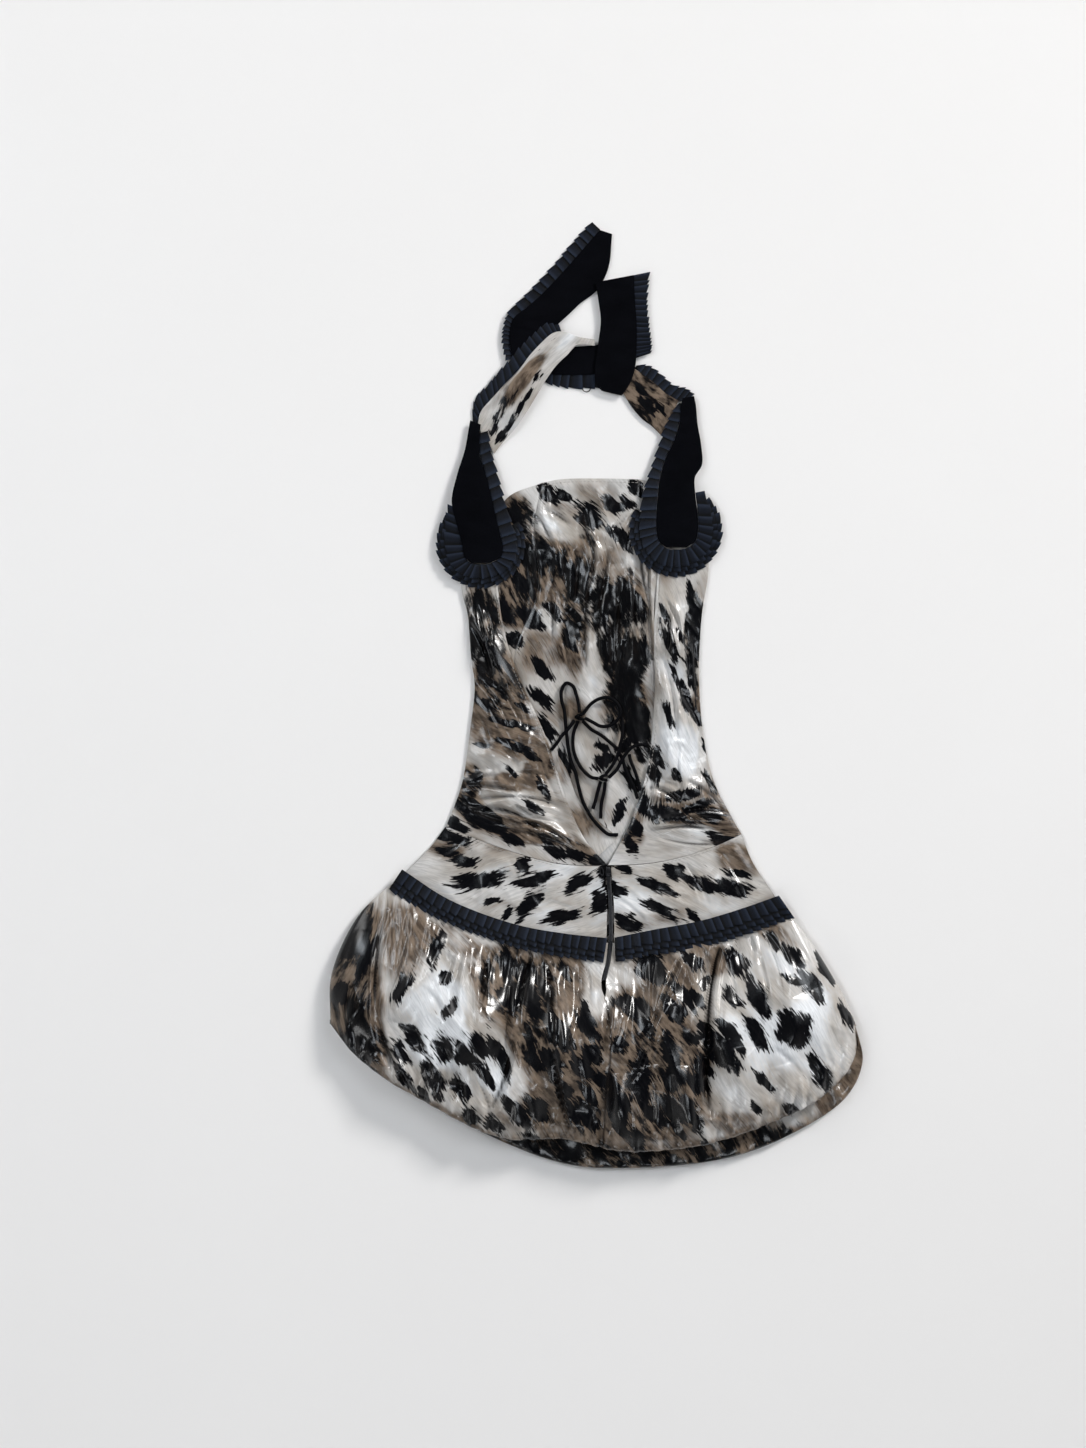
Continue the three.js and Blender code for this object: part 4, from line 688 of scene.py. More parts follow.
def shares(count, length, inset=(0.15, 0.15)):
    """Even shares of a length, a little in from both ends."""
    return np.linspace(inset[0] / length, 1 - inset[1] / length, count + 1)


def columns(count):
    """Shares of a width that crowd towards its two ends."""
    return (1 + np.sin(np.pi / 2 * np.linspace(-1, 1, count))) / 2


def declare(obj, cut=None):
    """A cut sheet.

    Its width and length in millimetres are given or measured over its folds.
    """
    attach(obj, "dress")
    cut = cut or measured[obj.name]
    width, length = (round(max(side, 10) * MM, 4) for side in cut)
    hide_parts(obj.name.replace("_cloth", ""))


# ---------------------------------------------------------------- dimensions shared with the CAD, mm
CLOTH, SEAM, FACE = 1.5, 0.3, 1.0  # a front panel, the gap between a strap's faces, one of them
PUFF, RISE = 44, 4  # how far the skirt and the yoke bulge in their middle
BODICE_SIDE, HIP_SIDE, SKIRT_SIDE = 3.3, 5.2, 8.2  # heights of the back's side edges
# Hems: the roll's radius at the sides and in the middle, the width turned in, how far the edge lifts.
BACK_HEM = {"side": 3, "middle": 7, "turn": 22, "lift": 6}
FRONT_HEM = {"side": 2.2, "middle": 5, "turn": 28}
HIP_RIBBONS, SLOT_HALF = (15.5, 22, 28.5), 3.4  # how far down each layer reaches, half the zip's gap
LAYER = 1.6  # one ribbon's thickness with its pleats
SHEET = 1.2  # the cloth of the back and of the skirt
WING_WIDTH, YOKE_DEPTH, SKIRT_WIDTH = 75, 85, 290  # of one panel, roughly
ROLL_STEPS, TURN_STEPS = 13, 9  # rows round the roll of a hem and on the part turned in

WAIST = [(-172, -151), (-110, -175), (-45, -193), (14, -195.5), (76, -191), (136, -174), (168, -160)]
HIP = [(-222, -207), (-169, -241), (-92, -269), (17, -284), (120, -265), (168, -251), (209, -236)]
SIDE = {
    "bodice_left": [
        (-150, 172), (-154, 122), (-147, 92), (-143, 43), (-139, 10), (-144, -38), (-154, -103),
        (-172, -151)
    ],
    "bodice_right": [
        (126, 195), (130, 147), (122, 89), (119, 21), (124, -46), (136, -99), (158, -143), (168, -160)
    ],
    "yoke_left": [(-172, -151), (-191, -176), (-222, -207)],
    "yoke_right": [(168, -160), (179, -189), (209, -236)],
    "skirt_left": [(-222, -207), (-272, -253), (-303, -321), (-304, -378)],
    "skirt_right": [(209, -236), (248, -285), (288, -353), (298, -380)],
}
WING_INNER = {
    "left": [
        (-114, 172), (-112, 123), (-104, 70), (-88, 22), (-57, -48), (-34, -118), (-11, -167),
        (14, -195.5)
    ],
    "right": [(78, 195), (71, 136), (67, 66), (68, 9), (59, -86), (37, -152), (14, -195.5)],
}
PRINCESS = {
    "left": [(-61, 244), (-70, 195), (-66, 121), (-93, 45), (-86, -80), (-84, -184)],
    "right": [(51, 248), (60, 190), (62, 100), (72, -20), (80, -190.3)],
}
NECKLINE = {
    "left": [(-150, 172), (-124, 192), (-100, 228), (-61, 244)],
    "centre": [(-61, 244), (-41, 248), (5, 249), (51, 248)],
    "right": [(51, 248), (84, 240), (104, 218), (126, 195)],
}
BACK_HEM_LINE = [
    (-304, -378), (-269, -418), (-200, -462), (-110, -505), (-34, -508), (30, -521), (111, -516), (187, -494),
    (262, -456), (296, -415), (298, -380),
]
FRONT_HEM_LINE = [
    (-304, -378), (-269, -418), (-200, -462), (-119, -508), (-34, -539), (30, -544), (147, -533), (220, -507),
    (288, -462), (307, -420), (298, -380),
]
ZIP_LINE = [(14, -196), (17, -240), (17, -284), (14, -307), (9, -328)]
CENTRE_SEAM = [(9, -328), (17, -389), (12, -450), (7, -514)]
WAIST_Y, HIP_Y, HEM_Y = -195.5, -284, -514  # along the zip and the centre seam
SKIRT_PROFILE = rows_curve(
    [
        (0, 0), (0.1, 0.2), (0.2, 0.42), (0.35, 0.75), (0.5, 0.95), (0.65, 1), (0.8, 0.92), (0.9, 0.76),
        (1, 0.45)
    ]
)


# Heights of the back's outer face: u runs from 0 at the zip to 1 at the side, v down the panel.
def hump(u):
    return 1 - np.abs(u) ** 3


def yoke_height(u, v):
    return lerp(BODICE_SIDE, HIP_SIDE, smooth(v, 0.3, 0.7)) + RISE * hump(u)


def skirt_height(u, v):
    base = lerp(HIP_SIDE + RISE * hump(u), SKIRT_SIDE, smooth(v, 0, 0.3))
    crown = PUFF * np.sqrt(np.maximum(1 - np.abs(u) ** 2.6, 0))
    hem = BACK_HEM["lift"] * smooth(v, 0.86, 0.965) * (1 - 0.6 * np.abs(u) ** 8)
    return base + SKIRT_PROFILE(v)[..., 1] * crown + hem


# ---------------------------------------------------------------- lacing
LACE_VISIBLE = 4.0  # the cord bulges a little past the solid that stands for it
LOW, OVER = 5.3, 9.2  # heights of its middle, lying on the front and crossing over
LACES = {
    "lace_long": [
        (26, -160.5, LOW), (15, -160, LOW), (5, -152, LOW), (-4, -141.5, LOW), (-11, -130, LOW),
        (-16, -118, LOW), (-20, -103, LOW), (-23, -90, LOW), (-28, -77, LOW), (-31, -64, LOW),
        (-33, -48, LOW), (-34.5, -34, LOW), (-36, -17, LOW), (-39, -6, LOW), (-39, 6, LOW),
        (-33.5, 13.5, LOW), (-26, 10, LOW), (-22.5, 1, LOW), (-20, -8, LOW), (-18.5, -20.2, 6.6),
    ],
    "lace_left": [
        (-50.9, -63.4, 6.4), (-45, -56, 8), (-38, -46, OVER), (-31, -38.5, OVER), (-24.3, -29, 8.4)
    ],
    "lace_bow": [
        (-13.6, -20.8, 7.8), (-6, -11, OVER), (3, -5, OVER), (14, -3, OVER), (24, -9, OVER),
        (28.5, -19.5, OVER), (24.5, -29, OVER), (16, -35, OVER), (6, -36, OVER), (-3, -31.5, OVER),
        (-12.3, -26.4, 7.6),
    ],
    "lace_cross": [
        (-14.8, -29.9, 6.2), (-5, -39.5, LOW), (6, -46, LOW), (16, -54, LOW), (25, -63, LOW),
        (30, -72, LOW), (34, -84, LOW), (39, -96, LOW), (43.5, -105, LOW), (46.5, -114, LOW),
        (48, -119, 6),
    ],
    "lace_drop": [
        (30, -26, LOW), (31, -38, 7.2), (30.5, -48, OVER), (28, -58, OVER), (26, -67, OVER),
        (21.5, -77, OVER), (15.5, -86, 8.6), (11.5, -90.8, 8)
    ],
    "lace_side": [
        (-20.2, -29.8, 6.4), (-24.5, -41, LOW), (-26, -51, LOW), (-25.5, -63, LOW), (-21, -76, LOW),
        (-14, -87, LOW), (-5, -94.5, LOW), (3.2, -96, 7)
    ],
    "lace_right": [
        (60, -57.5, 6.4), (50, -57, 7.6), (42, -60, OVER), (35, -67, OVER), (29.5, -76, OVER),
        (24, -86, OVER), (17, -93, 8.6), (14.8, -94.5, 7.8)
    ],
    "lace_short": [
        (50.7, -110, 5.6), (48.5, -98, LOW), (44.5, -86, LOW), (40, -75, LOW), (38.5, -68, LOW)
    ],
    "lace_tail_left": [(5.6, -99.4, 7.2), (3, -109, LOW), (0, -121, LOW), (-3.2, -131, LOW)],
    "lace_tail_right": [(11, -100.4, 7.2), (9.5, -112, LOW), (6.5, -126, LOW), (5.8, -142, LOW)],
}
FREE_ENDS = {"lace_drop": "knot", "lace_tail_left": "bare", "lace_tail_right": "bare", "lace_short": "bare"}


def lace(name, route):
    """A length of the cord along its route."""
    line = samples([tuple(np.array(p) + SHIFT) for p in route], 8) * MM
    curve = bpy.data.curves.new(name + "_cord", "CURVE")
    curve.dimensions = "3D"
    curve.bevel_depth = LACE_VISIBLE / 2 * MM
    curve.bevel_resolution = 5
    curve.use_fill_caps = True
    spline = curve.splines.new("POLY")
    spline.points.add(len(line) - 1)
    spline.points.foreach_set("co", np.hstack([line, np.ones((len(line), 1))]).ravel())
    spline.use_smooth = True
    curve.materials.append(LACING)
    cord = bpy.data.objects.new(name + "_cord", curve)
    bpy.context.scene.collection.objects.link(cord)
    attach(cord, "dress")
    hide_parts(name)
    round(length_of(line), 4)
    FREE_ENDS.get(name, "object")


def knot(name, x, y, z, size, turns):
    """A pulled-tight bow knot: short lengths of the cord wound over one another, joined into one lump."""
    t = np.linspace(0, 2 * math.pi, 120, endpoint=False)
    rx, ry, rz = size
    wound = rx * np.sin(t * 2 + 0.4) * (1 - 0.25 * np.cos(turns * t))
    path = np.stack([x + wound, y + ry * np.sin(t + 0.9), z + rz * np.cos(turns * t)], -1)
    ahead = np.roll(path, -1, 0) - np.roll(path, 1, 0)
    ahead /= np.linalg.norm(ahead, axis=1, keepdims=True)
    side = np.cross(ahead, [0.3, 0.2, 0.93])
    side /= np.linalg.norm(side, axis=1, keepdims=True)
    points, faces = tube(path, side, np.cross(side, ahead), radius=1.7, corners=12, closed=True)
    obj = solid(name + "_tied", points, faces, LACING)
    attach(obj, "dress")
    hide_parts(name)


for name, route in LACES.items():
    lace(name, route)
knot("lace_knot_upper", -18, -25, 7, (3.6, 3.0, 1.9), 3)
knot("lace_knot_lower", 9, -95, 7, (3.2, 3.0, 1.9), 3)

# ---------------------------------------------------------------- front
FRONT_RIDGES = [
    (-7, 188, -18, 80, 6, 8, 1.6), (18, 150, 8, 10, 0, 9, 1.3), (-40, 170, -34, 40, 8, 9, 1.4),
    (40, 180, 34, 20, -4, 8, 1.2), (-84, 150, -96, 60, 4, 7, 1.2), (-62, 235, -66, 170, 3, 5, 0.9),
    (-20, 60, -12, -60, 5, 9, 1.1), (46, 40, 52, -70, -3, 8, 1.2), (2, 30, 14, -60, 3, 8, 1.0),
]
FRONT_CREASES = [
    (-72, 214, -40, 150, 3, 4, 1.1), (-50, 196, -34, 128, 3, 4, -1.0), (-14, 214, 4, 150, -3, 4.5, 1.0),
    (50, 212, 42, 168, 2, 4, 1.0), (52, 176, 60, 110, -2, 4, 1.2), (-80, 170, -70, 100, 3, 4.5, 1.1),
    (14, 168, 2, 96, 2, 4, -1.2), (34, 120, 30, 44, 2, 4, 1.1), (18, 90, 20, 20, -2, 4, -1.0),
    (-52, 118, -50, 60, 2, 4, 1.0), (-2, 176, -16, 92, 5, 4.5, 1.5), (-8, 128, -10, 20, -3, 4, 1.1),
    (26, 134, 22, 10, 2, 4.5, 1.3), (-70, 128, -92, 40, 3, 4, -1.3), (60, 150, 64, 10, 0, 4, 1.2),
    (-24, 168, -28, 96, 4, 4, -1.1), (36, 206, 18, 190, 2, 4, 0.8), (-36, 20, -38, -110, 2, 5, 1.3),
    (-44, 90, -30, 20, 3, 4, 0.9), (10, -60, 4, -150, 3, 5, 0.9), (-60, 214, -30, 196, 2, 4, 0.8),
    (44, 120, 42, 60, 2, 3.5, 0.8), (6, 110, 4, 40, -2, 3.5, 0.8),
]
OVER_RIBBON = 1.6  # how far the front lies off the floor where the hip ribbon runs under it


def front_fur(x, y):
    """The way the hair runs, in degrees."""
    return -58 + 10 * smooth(y, 170, 240)


def front_panel(name, hand, left, right, waist, count):
    """A panel of the front, flat under the back wings and gathered where they leave it bare."""
    where = plan(edge(NECKLINE[hand]), edge(WAIST, *waist), edge(left), edge(right))
    U, V = np.meshgrid(shares(count, 70), shares(170, 400, (0.15, 1.2)))
    base = where(U, V)
    x, y = base[..., 0], base[..., 1]
    inside = smooth(np.minimum(U, 1 - U), 0, 0.03) * smooth(np.minimum(V, 1 - V), 0, 0.02)
    open_half = 24 + 46 * smooth(y, -120, 150)  # half the gap between the wings
    bare = 1 - smooth(np.abs(x - 2), open_half - 6, open_half + 14)
    tall = bare * smooth(y, 10, 60)
    relief = 2.6 * ridges(FRONT_RIDGES, x, y) + 3.0 * creases(FRONT_CREASES, x, y)
    relief += (
        0.8 * crumple(x, y, 38, 3, stretch=3.2, angle=97) + 0.15 * waves(x, y, 15, 4)
        + 0.9 * waves(x, y, 46, 2, stretch=2, angle=95)
    )
    lift = 1.1 + 0.7 * tall + relief * (0.25 + 0.3 * bare + 0.6 * tall)
    top, bottom = base.copy(), base.copy()
    top[..., 2] = 1.1 + np.clip(lift, 0.15, 2 + 1.2 * bare + 2.6 * tall) * inside
    bottom[..., 2] = 0
    tone, fur = printed(x, y, SPOTS, TONES, front_fur, 0, (-10, 190))
    low_spots = scattered(31, -180, 180, -200, 260, -58)
    low_tones = [(-60, 60, 60, 120, 0, 0.5, 0.6), (70, -60, 50, 90, 0, 0.3, 0.5)]
    tone_low, fur_low = printed(-x, y, low_spots, low_tones, -58)
    # Painted shade in the creases and hollows of the bare front.
    fold = shaded(FRONT_CREASES, x, y, 0.2, 0.9, relief, 3.2)
    fold *= (bare * inside * (0.35 + 0.65 * tall))[..., None]
    upper = dict(tone=tone, fur=fur, fold=fold)
    lower = dict(tone=tone_low, fur=fur_low, fold=0 * fold)
    declare(slab(name + "_cloth", top, bottom, PRINT, upper, lower))


def front_bodice():
    left, right = PRINCESS["left"], PRINCESS["right"]
    start, end = share_at(WAIST, left[-1][0]), share_at(WAIST, right[-1][0])
    front_panel("front_bodice_side_left", "left", SIDE["bodice_left"], left, (0, start), 34)
    front_panel("front_bodice_centre", "centre", left, right, (start, end), 72)
    front_panel("front_bodice_side_right", "right", right, SIDE["bodice_right"], (end, 1), 34)


def yoke_front():
    where = plan(edge(WAIST), edge(HIP), edge(SIDE["yoke_left"]), edge(SIDE["yoke_right"]))
    U, V = np.meshgrid(columns(120), shares(34, YOKE_DEPTH))
    base = where(U, V)
    base[..., 2] = OVER_RIBBON * smooth(V, 0.5, 0.75)
    spots = scattered(32, -230, 230, -300, -140, -20)
    tone, fur = printed(-base[..., 0], base[..., 1], spots, [], -20)
    obj = shell("yoke_front_cloth", base, CLOTH, PRINT, up=False, layers_top=dict(tone=tone, fur=fur))
    declare(obj)


def hemmed(where, u, v, height, radius, turn, ripple, side):
    """Rows down a panel, round its hem's soft roll and back; side is 1 for a hem turned up, -1 for down."""
    U, V = np.meshgrid(u, v)
    hem = where(u, np.ones_like(u))
    out = hem - where(u, np.full_like(u, 0.96))
    out[:, 2] = 0
    out /= np.linalg.norm(out, axis=1, keepdims=True)
    r = radius(u)
    hem = hem + out * ripple(u)[:, None]
    reach = np.linalg.norm(hem - where(u, np.zeros_like(u)), axis=1)
    base = where(U, V * (1 - (r / reach)[None, :]))
    base[..., 2] = height(U, V, base[..., 0], base[..., 1])
    rows = [base]
    for angle in np.linspace(0, math.pi, ROLL_STEPS)[1:]:
        row = base[-1] + out * (r * math.sin(angle))[:, None]
        row[:, 2] += side * r * (1 - math.cos(angle))
        rows.append(row[None])
    end = rows[-1][0]
    for share in np.linspace(0, 1, TURN_STEPS)[1:]:
        rows.append((end - out * (share * turn(u))[:, None])[None])
    return np.concatenate(rows)


def skirt_front():
    """It lies on the surface; past the back's hem its turned-up edge shows, gathered unevenly."""
    r = np.random.default_rng(21)
    gathers = [
        (c, r.uniform(0.004, 0.012), r.uniform(-1.3, 1.6))
        for c in np.linspace(0.2, 0.9, 34) + r.uniform(-0.008, 0.008, 34)
    ]

    def hem_wave(u):
        return sum(h * np.exp(-(((u - c) / w) ** 2)) for c, w, h in gathers)

    def height(u, v, x, y):
        curl = 5.8 * smooth(v, 0.1, 0.3) * (1 - smooth(v, 0.93, 1))
        return OVER_RIBBON * (1 - smooth(v, 0.11, 0.2)) + curl * np.abs(2 * u - 1) ** 10

    def radius(u):
        return lerp(FRONT_HEM["middle"], FRONT_HEM["side"], (2 * u - 1) ** 2)

    def turn(u):
        return 2 + FRONT_HEM["turn"] * (1 - (2 * u - 1) ** 4)

    def ripple(u):
        return 2.6 * hem_wave(u) * smooth(u, 0.1, 0.3) * smooth(1 - u, 0.03, 0.15) - 0.6

    where = plan(edge(HIP), edge(FRONT_HEM_LINE), edge(SIDE["skirt_left"]), edge(SIDE["skirt_right"]))
    u = columns(230)
    v = np.concatenate([np.linspace(0.002, 0.85, 60), np.linspace(0.86, 1, 22)])
    grid = hemmed(where, u, v, height, radius, turn, ripple, 1)
    x, y = grid[..., 0], grid[..., 1]
    U = np.broadcast_to(u, grid.shape[:2])
    turned = np.zeros(grid.shape[0])
    turned[len(v) :] = np.linspace(0, 1, grid.shape[0] - len(v))
    lift = hem_wave(U + 0.012 * turned[:, None]) * 2.6 + 0.9 * waves(x, y, 24, 8)
    lift = lift * smooth(turned, 0.2, 0.55)[:, None]
    grid[..., 2] += np.clip(lift, -2.2, 3.4) * smooth(np.minimum(U, 1 - U), 0.02, 0.1)
    spots = scattered(34, -310, 215, -560, -200, -50, 31)
    tones = [
        (20, -525, 330, 56, 0, 0.8, 1.1), (286, -440, 46, 60, 0, 0.25, 1.3),
        (0, -380, 260, 90, 0, 0.1, 0.35)
    ]
    tone, fur = printed(x, y, spots, tones, -50)
    obj = shell("skirt_front_cloth", grid, SHEET, PRINT, up=False, layers_top=dict(tone=tone, fur=fur))
    declare(obj)


front_bodice()
yoke_front()
skirt_front()

# ---------------------------------------------------------------- back wings
WING_RIDGES = [
    (-140, 100, -90, -10, 10, 10, 2), (-138, 20, -72, -90, 8, 12, 2.2),
    (-150, -95, -50, -150, 6, 11, 2.4), (80, 120, 104, 10, -6, 9, 2), (74, 40, 96, -95, -5, 11, 2.2),
    (60, -140, 148, -150, -7, 11, 2.2), (-148, -70, -92, -84, 4, 9, 1.6),
    (-100, -96, -44, -118, 5, 8, 2.0), (92, -20, 122, -90, -5, 9, 1.6),
    (110, -100, 150, -150, -4, 8, 1.6), (-130, -112, -66, -118, -4, 7, 1.6),
    (84, -60, 72, -120, 3, 8, 1.4), (-120, 60, -104, 0, 3, 6, 1.2),
]
WING_CREASES = [
    (-156, -108, -90, -112, 6, 5, 2.2), (-150, -136, -84, -140, 7, 4.5, 2.4),
    (-120, -128, -60, -158, 5, 4.5, -2.0), (-96, -120, -50, -146, -4, 4, 1.8),
    (-76, -146, -30, -172, 4, 4, 2.0), (72, -148, 128, -156, 4, 4, 2.2),
    (96, -136, 160, -140, 7, 4.5, -2.0), (110, -164, 164, -166, -3, 4, 1.8),
    (60, -106, 96, -124, 5, 4.5, 1.6), (104, -98, 146, -132, 4, 4, 1.6), (-146, 84, -120, 20, 5, 4, 1.6),
    (-126, 74, -104, 20, -4, 4, 1.3), (-112, 10, -84, -36, 4, 4, 1.4), (-148, -6, -120, -50, 4, 4.5, 1.4),
    (84, 100, 80, 40, 2, 4, 1.4), (112, 60, 116, -20, 2, 4, 1.4), (-158, -122, -60, -148, -9, 5, 2.6),
    (-150, -124, -36, -130, 10, 5, -2.2), (-120, -150, -20, -180, 5, 5, 2.2),
    (-96, -166, -24, -176, -3, 4, -1.6), (-146, -104, -110, -92, 3, 4, 1.2),
    (-142, 118, -128, 46, 4, 4, 1.5), (-132, 108, -118, 58, 3, 3.5, -1.3),
    (-120, 40, -76, -40, 6, 4.5, 1.3), (-138, 20, -100, -36, 5, 4, -1.0),
    (-70, -50, -44, -120, -3, 4.5, -1.5), (62, -156, 160, -158, 6, 4.5, 2.6),
    (70, -162, 150, -170, -5, 4.5, -2.2), (80, -148, 156, -144, 5, 4, 1.5), (74, 120, 98, 70, 3, 4, 1.5),
    (100, 84, 108, 20, 2, 4, -1.3), (78, 40, 92, -50, 4, 4.5, 1.2), (100, 0, 124, -70, 5, 4.5, -1.2),
    (64, -60, 60, -130, 3, 4.5, 1.3), (120, -90, 156, -144, 5, 4, 1.3), (96, -60, 100, -110, -4, 4, 1.0),
    (84, 116, 116, 112, 2, 4, 1.0), (-90, -90, -52, -96, 3, 4, 1.1), (-110, -60, -90, -80, 2, 4, 0.8),
    (-30, -160, 4, -190, 2, 4, 1.2), (30, -176, 60, -188, 2, 4, 1.0),
]
ZIP_AT_WAIST, ZIP_AT_HIP = share_at(WAIST, ZIP_LINE[0][0]), share_at(HIP, 17)


def back_wing(name, side, left, right, waist, spots, tones, angle, pivot):
    """A narrow back piece: side is -1 at the picture's left, and its edge along the open back rolls down."""
    where = plan(edge([left[0], right[0]]), edge(WAIST, *waist), edge(left), edge(right))
    U, V = np.meshgrid(shares(84, WING_WIDTH), shares(220, 350))
    base = where(U, V)
    x, y = base[..., 0], base[..., 1]
    across = U if side < 0 else 1 - U
    bulge = np.sin(np.pi * across)
    roll = 2.2 * across * smooth(V, 0.12, 0.25)
    lift = BODICE_SIDE + roll + 1.3 * smooth(across, 0, 0.25) + 4.5 * bulge * smooth(V, 0.18, 0.38)
    soft = np.sqrt(np.maximum(bulge, 0)) * smooth(V, 0.17, 0.28)
    detail = (
        ridges(WING_RIDGES, x, y) + 1.2 * creases(WING_CREASES, x, y)
        + 0.6 * crumple(x, y, 42, 12, stretch=2.8, angle=-62) + 0.08 * waves(x, y, 15, 13)
        + 0.8 * waves(x, y, 52, 14, stretch=1.6, angle=-60)
    )
    lift = lift + np.clip(2.4 * detail, -4.5, 8.5) * soft * (1 - smooth(V, 0.93, 1))
    lift = lerp(lift, BODICE_SIDE + RISE * hump(1 - across), smooth(V, 0.8, 1))
    inner_roll = np.exp(-(((1 - across) * WING_WIDTH / 1.8) ** 2))
    outer_roll = 0.6 * np.exp(-((across * WING_WIDTH / 1.5) ** 2))
    base[..., 2] = lift - 0.8 * (inner_roll + outer_roll)
    tone, fur = printed(x, y, spots, tones, angle, 0, pivot)
    # Painted shade in the wing's creases and hollows.
    fold = shaded(WING_CREASES, x, y, 0.5, 1.9, detail, 3.0) * soft[..., None]
    obj = shell(name + "_cloth", base, SHEET, PRINT, layers_top=dict(tone=tone, fur=fur, fold=fold))
    declare(obj)


def back_facing():
    """The band that shows inside the left wing's curve."""
    where = plan(
        edge([(-66, -48), (-58, -46)]), edge([(2, -186), (26, -164)]),
        edge([(-66, -48), (-46, -118), (-24, -163), (2, -186)]),
        edge([(-58, -46), (-33, -86), (-18, -122), (26, -164)])
    )
    U, V = np.meshgrid(shares(14, 12), shares(120, 150))
    base = where(U, V)
    x, y = base[..., 0], base[..., 1]
    base[..., 2] = 4.5 + 0.25 * waves(x, y, 20, 3)
    tone, fur = printed(x, y, [], [(-20, -120, 80, 80, 0, -0.5, 0.2)], -60)
    obj = shell("back_facing_left_cloth", base, 0.8, PRINT, layers_top=dict(tone=tone, fur=fur))
    declare(obj)


back_wing(
    "back_wing_left", -1, SIDE["bodice_left"], WING_INNER["left"], (0, ZIP_AT_WAIST), WING_LEFT_SPOTS,
    WING_LEFT_TONES, lambda x, y: -30 - 34 * smooth(y, -60, 100), (-115, 0)
)
back_wing(
    "back_wing_right", 1, WING_INNER["right"], SIDE["bodice_right"], (ZIP_AT_WAIST, 1), WING_RIGHT_SPOTS,
    WING_RIGHT_TONES, lambda x, y: -70 + 56 * smooth(-y, 95, 165), (115, -130)
)
back_facing()

# ---------------------------------------------------------------- back yoke
YOKE_RIDGES = [
    (-176, -158, -120, -190, 5, 8, 1.2), (-140, -172, -80, -214, 4, 9, 1.0),
    (-60, -200, -40, -250, -3, 9, 0.9), (60, -200, 90, -250, 4, 9, 1.0),
    (110, -186, 150, -240, 4, 9, 1.1), (150, -172, 190, -228, 5, 8, 1.3), (30, -205, 30, -268, 2, 8, 0.8),
    (-110, -184, -130, -240, -3, 8, 0.9),
]
YOKE_CREASES = [
    (-150, -166, -196, -190, 3, 3.5, 1.0), (160, -168, 196, -222, 4, 3.5, 1.1),
    (140, -178, 176, -236, 3, 3.5, -1.0), (100, -190, 130, -240, 3, 3.5, 0.9),
    (-100, -186, -84, -230, 2, 3.5, 0.7), (60, -228, 110, -236, 3, 4, 0.9),
    (-60, -236, -20, -250, 2, 4, 0.6), (20, -230, 60, -262, 2, 3.5, 0.7),
]


def half_of(points, middle, side):
    """The part of a line left of its middle where side is -1, or right of it where side is 1."""
    return edge(points, 0, middle) if side < 0 else edge(points, middle, 1)


def from_zip(u, side):
    """0 at the zip and 1 at the dress's side, from a share that runs left to right."""
    return 1 - u if side < 0 else u


def yoke_back(side):
    hand = "left" if side < 0 else "right"
    outer, inner = edge(SIDE["yoke_" + hand]), edge(ZIP_LINE[:3])
    sides = (outer, inner) if side < 0 else (inner, outer)
    where = plan(half_of(WAIST, ZIP_AT_WAIST, side), half_of(HIP, ZIP_AT_HIP, side), *sides)
    length, inset = (186, (0.15, SLOT_HALF)) if side < 0 else (153, (SLOT_HALF, 0.15))
    U, V = np.meshgrid(shares(110, length, inset), shares(48, YOKE_DEPTH))
    base = where(U, V)
    x, y = base[..., 0], base[..., 1]
    away = from_zip(U, side)
    soft = smooth(np.minimum(V, 1 - V), 0, 0.16) * smooth(1 - away, 0, 0.1)
    detail = (
        1.6 * ridges(YOKE_RIDGES, x, y) + 1.5 * creases(YOKE_CREASES, x, y)
        + 0.5 * crumple(x, y, 40, 17, stretch=1.8, angle=-35) + 0.6 * waves(x, y, 44, 18)
    )
    waist_roll = 0.5 * np.exp(-((V * YOKE_DEPTH / 1.2) ** 2))
    base[..., 2] = yoke_height(away, V) + detail * soft - waist_roll
    angle = (lambda x, y: 24 - 40 * smooth(-x, 120, 200)) if side < 0 else -24
    pivot = (-155, -190) if side < 0 else (110, -225)
    tone, fur = printed(x, y, YOKE_SPOTS, YOKE_TONES, angle, 0, pivot)
    obj = shell(f"yoke_back_{hand}_cloth", base, SHEET, PRINT, layers_top=dict(tone=tone, fur=fur))
    declare(obj)


for side in (-1, 1):
    yoke_back(side)

# ---------------------------------------------------------------- bubble skirt
SKIRT_RIDGES = [
    (-230, -245, -228, -440, -18, 13, -5), (-186, -262, -228, -372, 5, 14, 4),
    (-150, -282, -172, -440, 8, 17, 4), (-75, -300, -118, -470, -6, 13, -5),
    (-56, -310, -34, -498, 8, 12, 3.5), (16, -330, 10, -500, 0, 12, -3), (96, -300, 44, -425, -5, 14, 4),
    (143, -290, 128, -482, -9, 13, -6), (194, -275, 226, -400, 8, 15, 4),
    (-268, -268, -282, -400, -6, 12, 3), (-130, -420, -150, -492, 4, 12, 3.2),
    (-205, -400, -190, -458, 4, 12, 3), (60, -420, 72, -508, 3, 13, 3),
    (170, -400, 176, -490, 3, 13, 3.2), (235, -340, 268, -440, 6, 14, 3.4),
    (104, -420, 108, -506, 0, 10, 2.6), (20, -430, 26, -510, 2, 10, 2.4),
    (-76, -440, -64, -500, 3, 10, 2.8), (212, -420, 226, -470, 2, 12, 2.6),
]
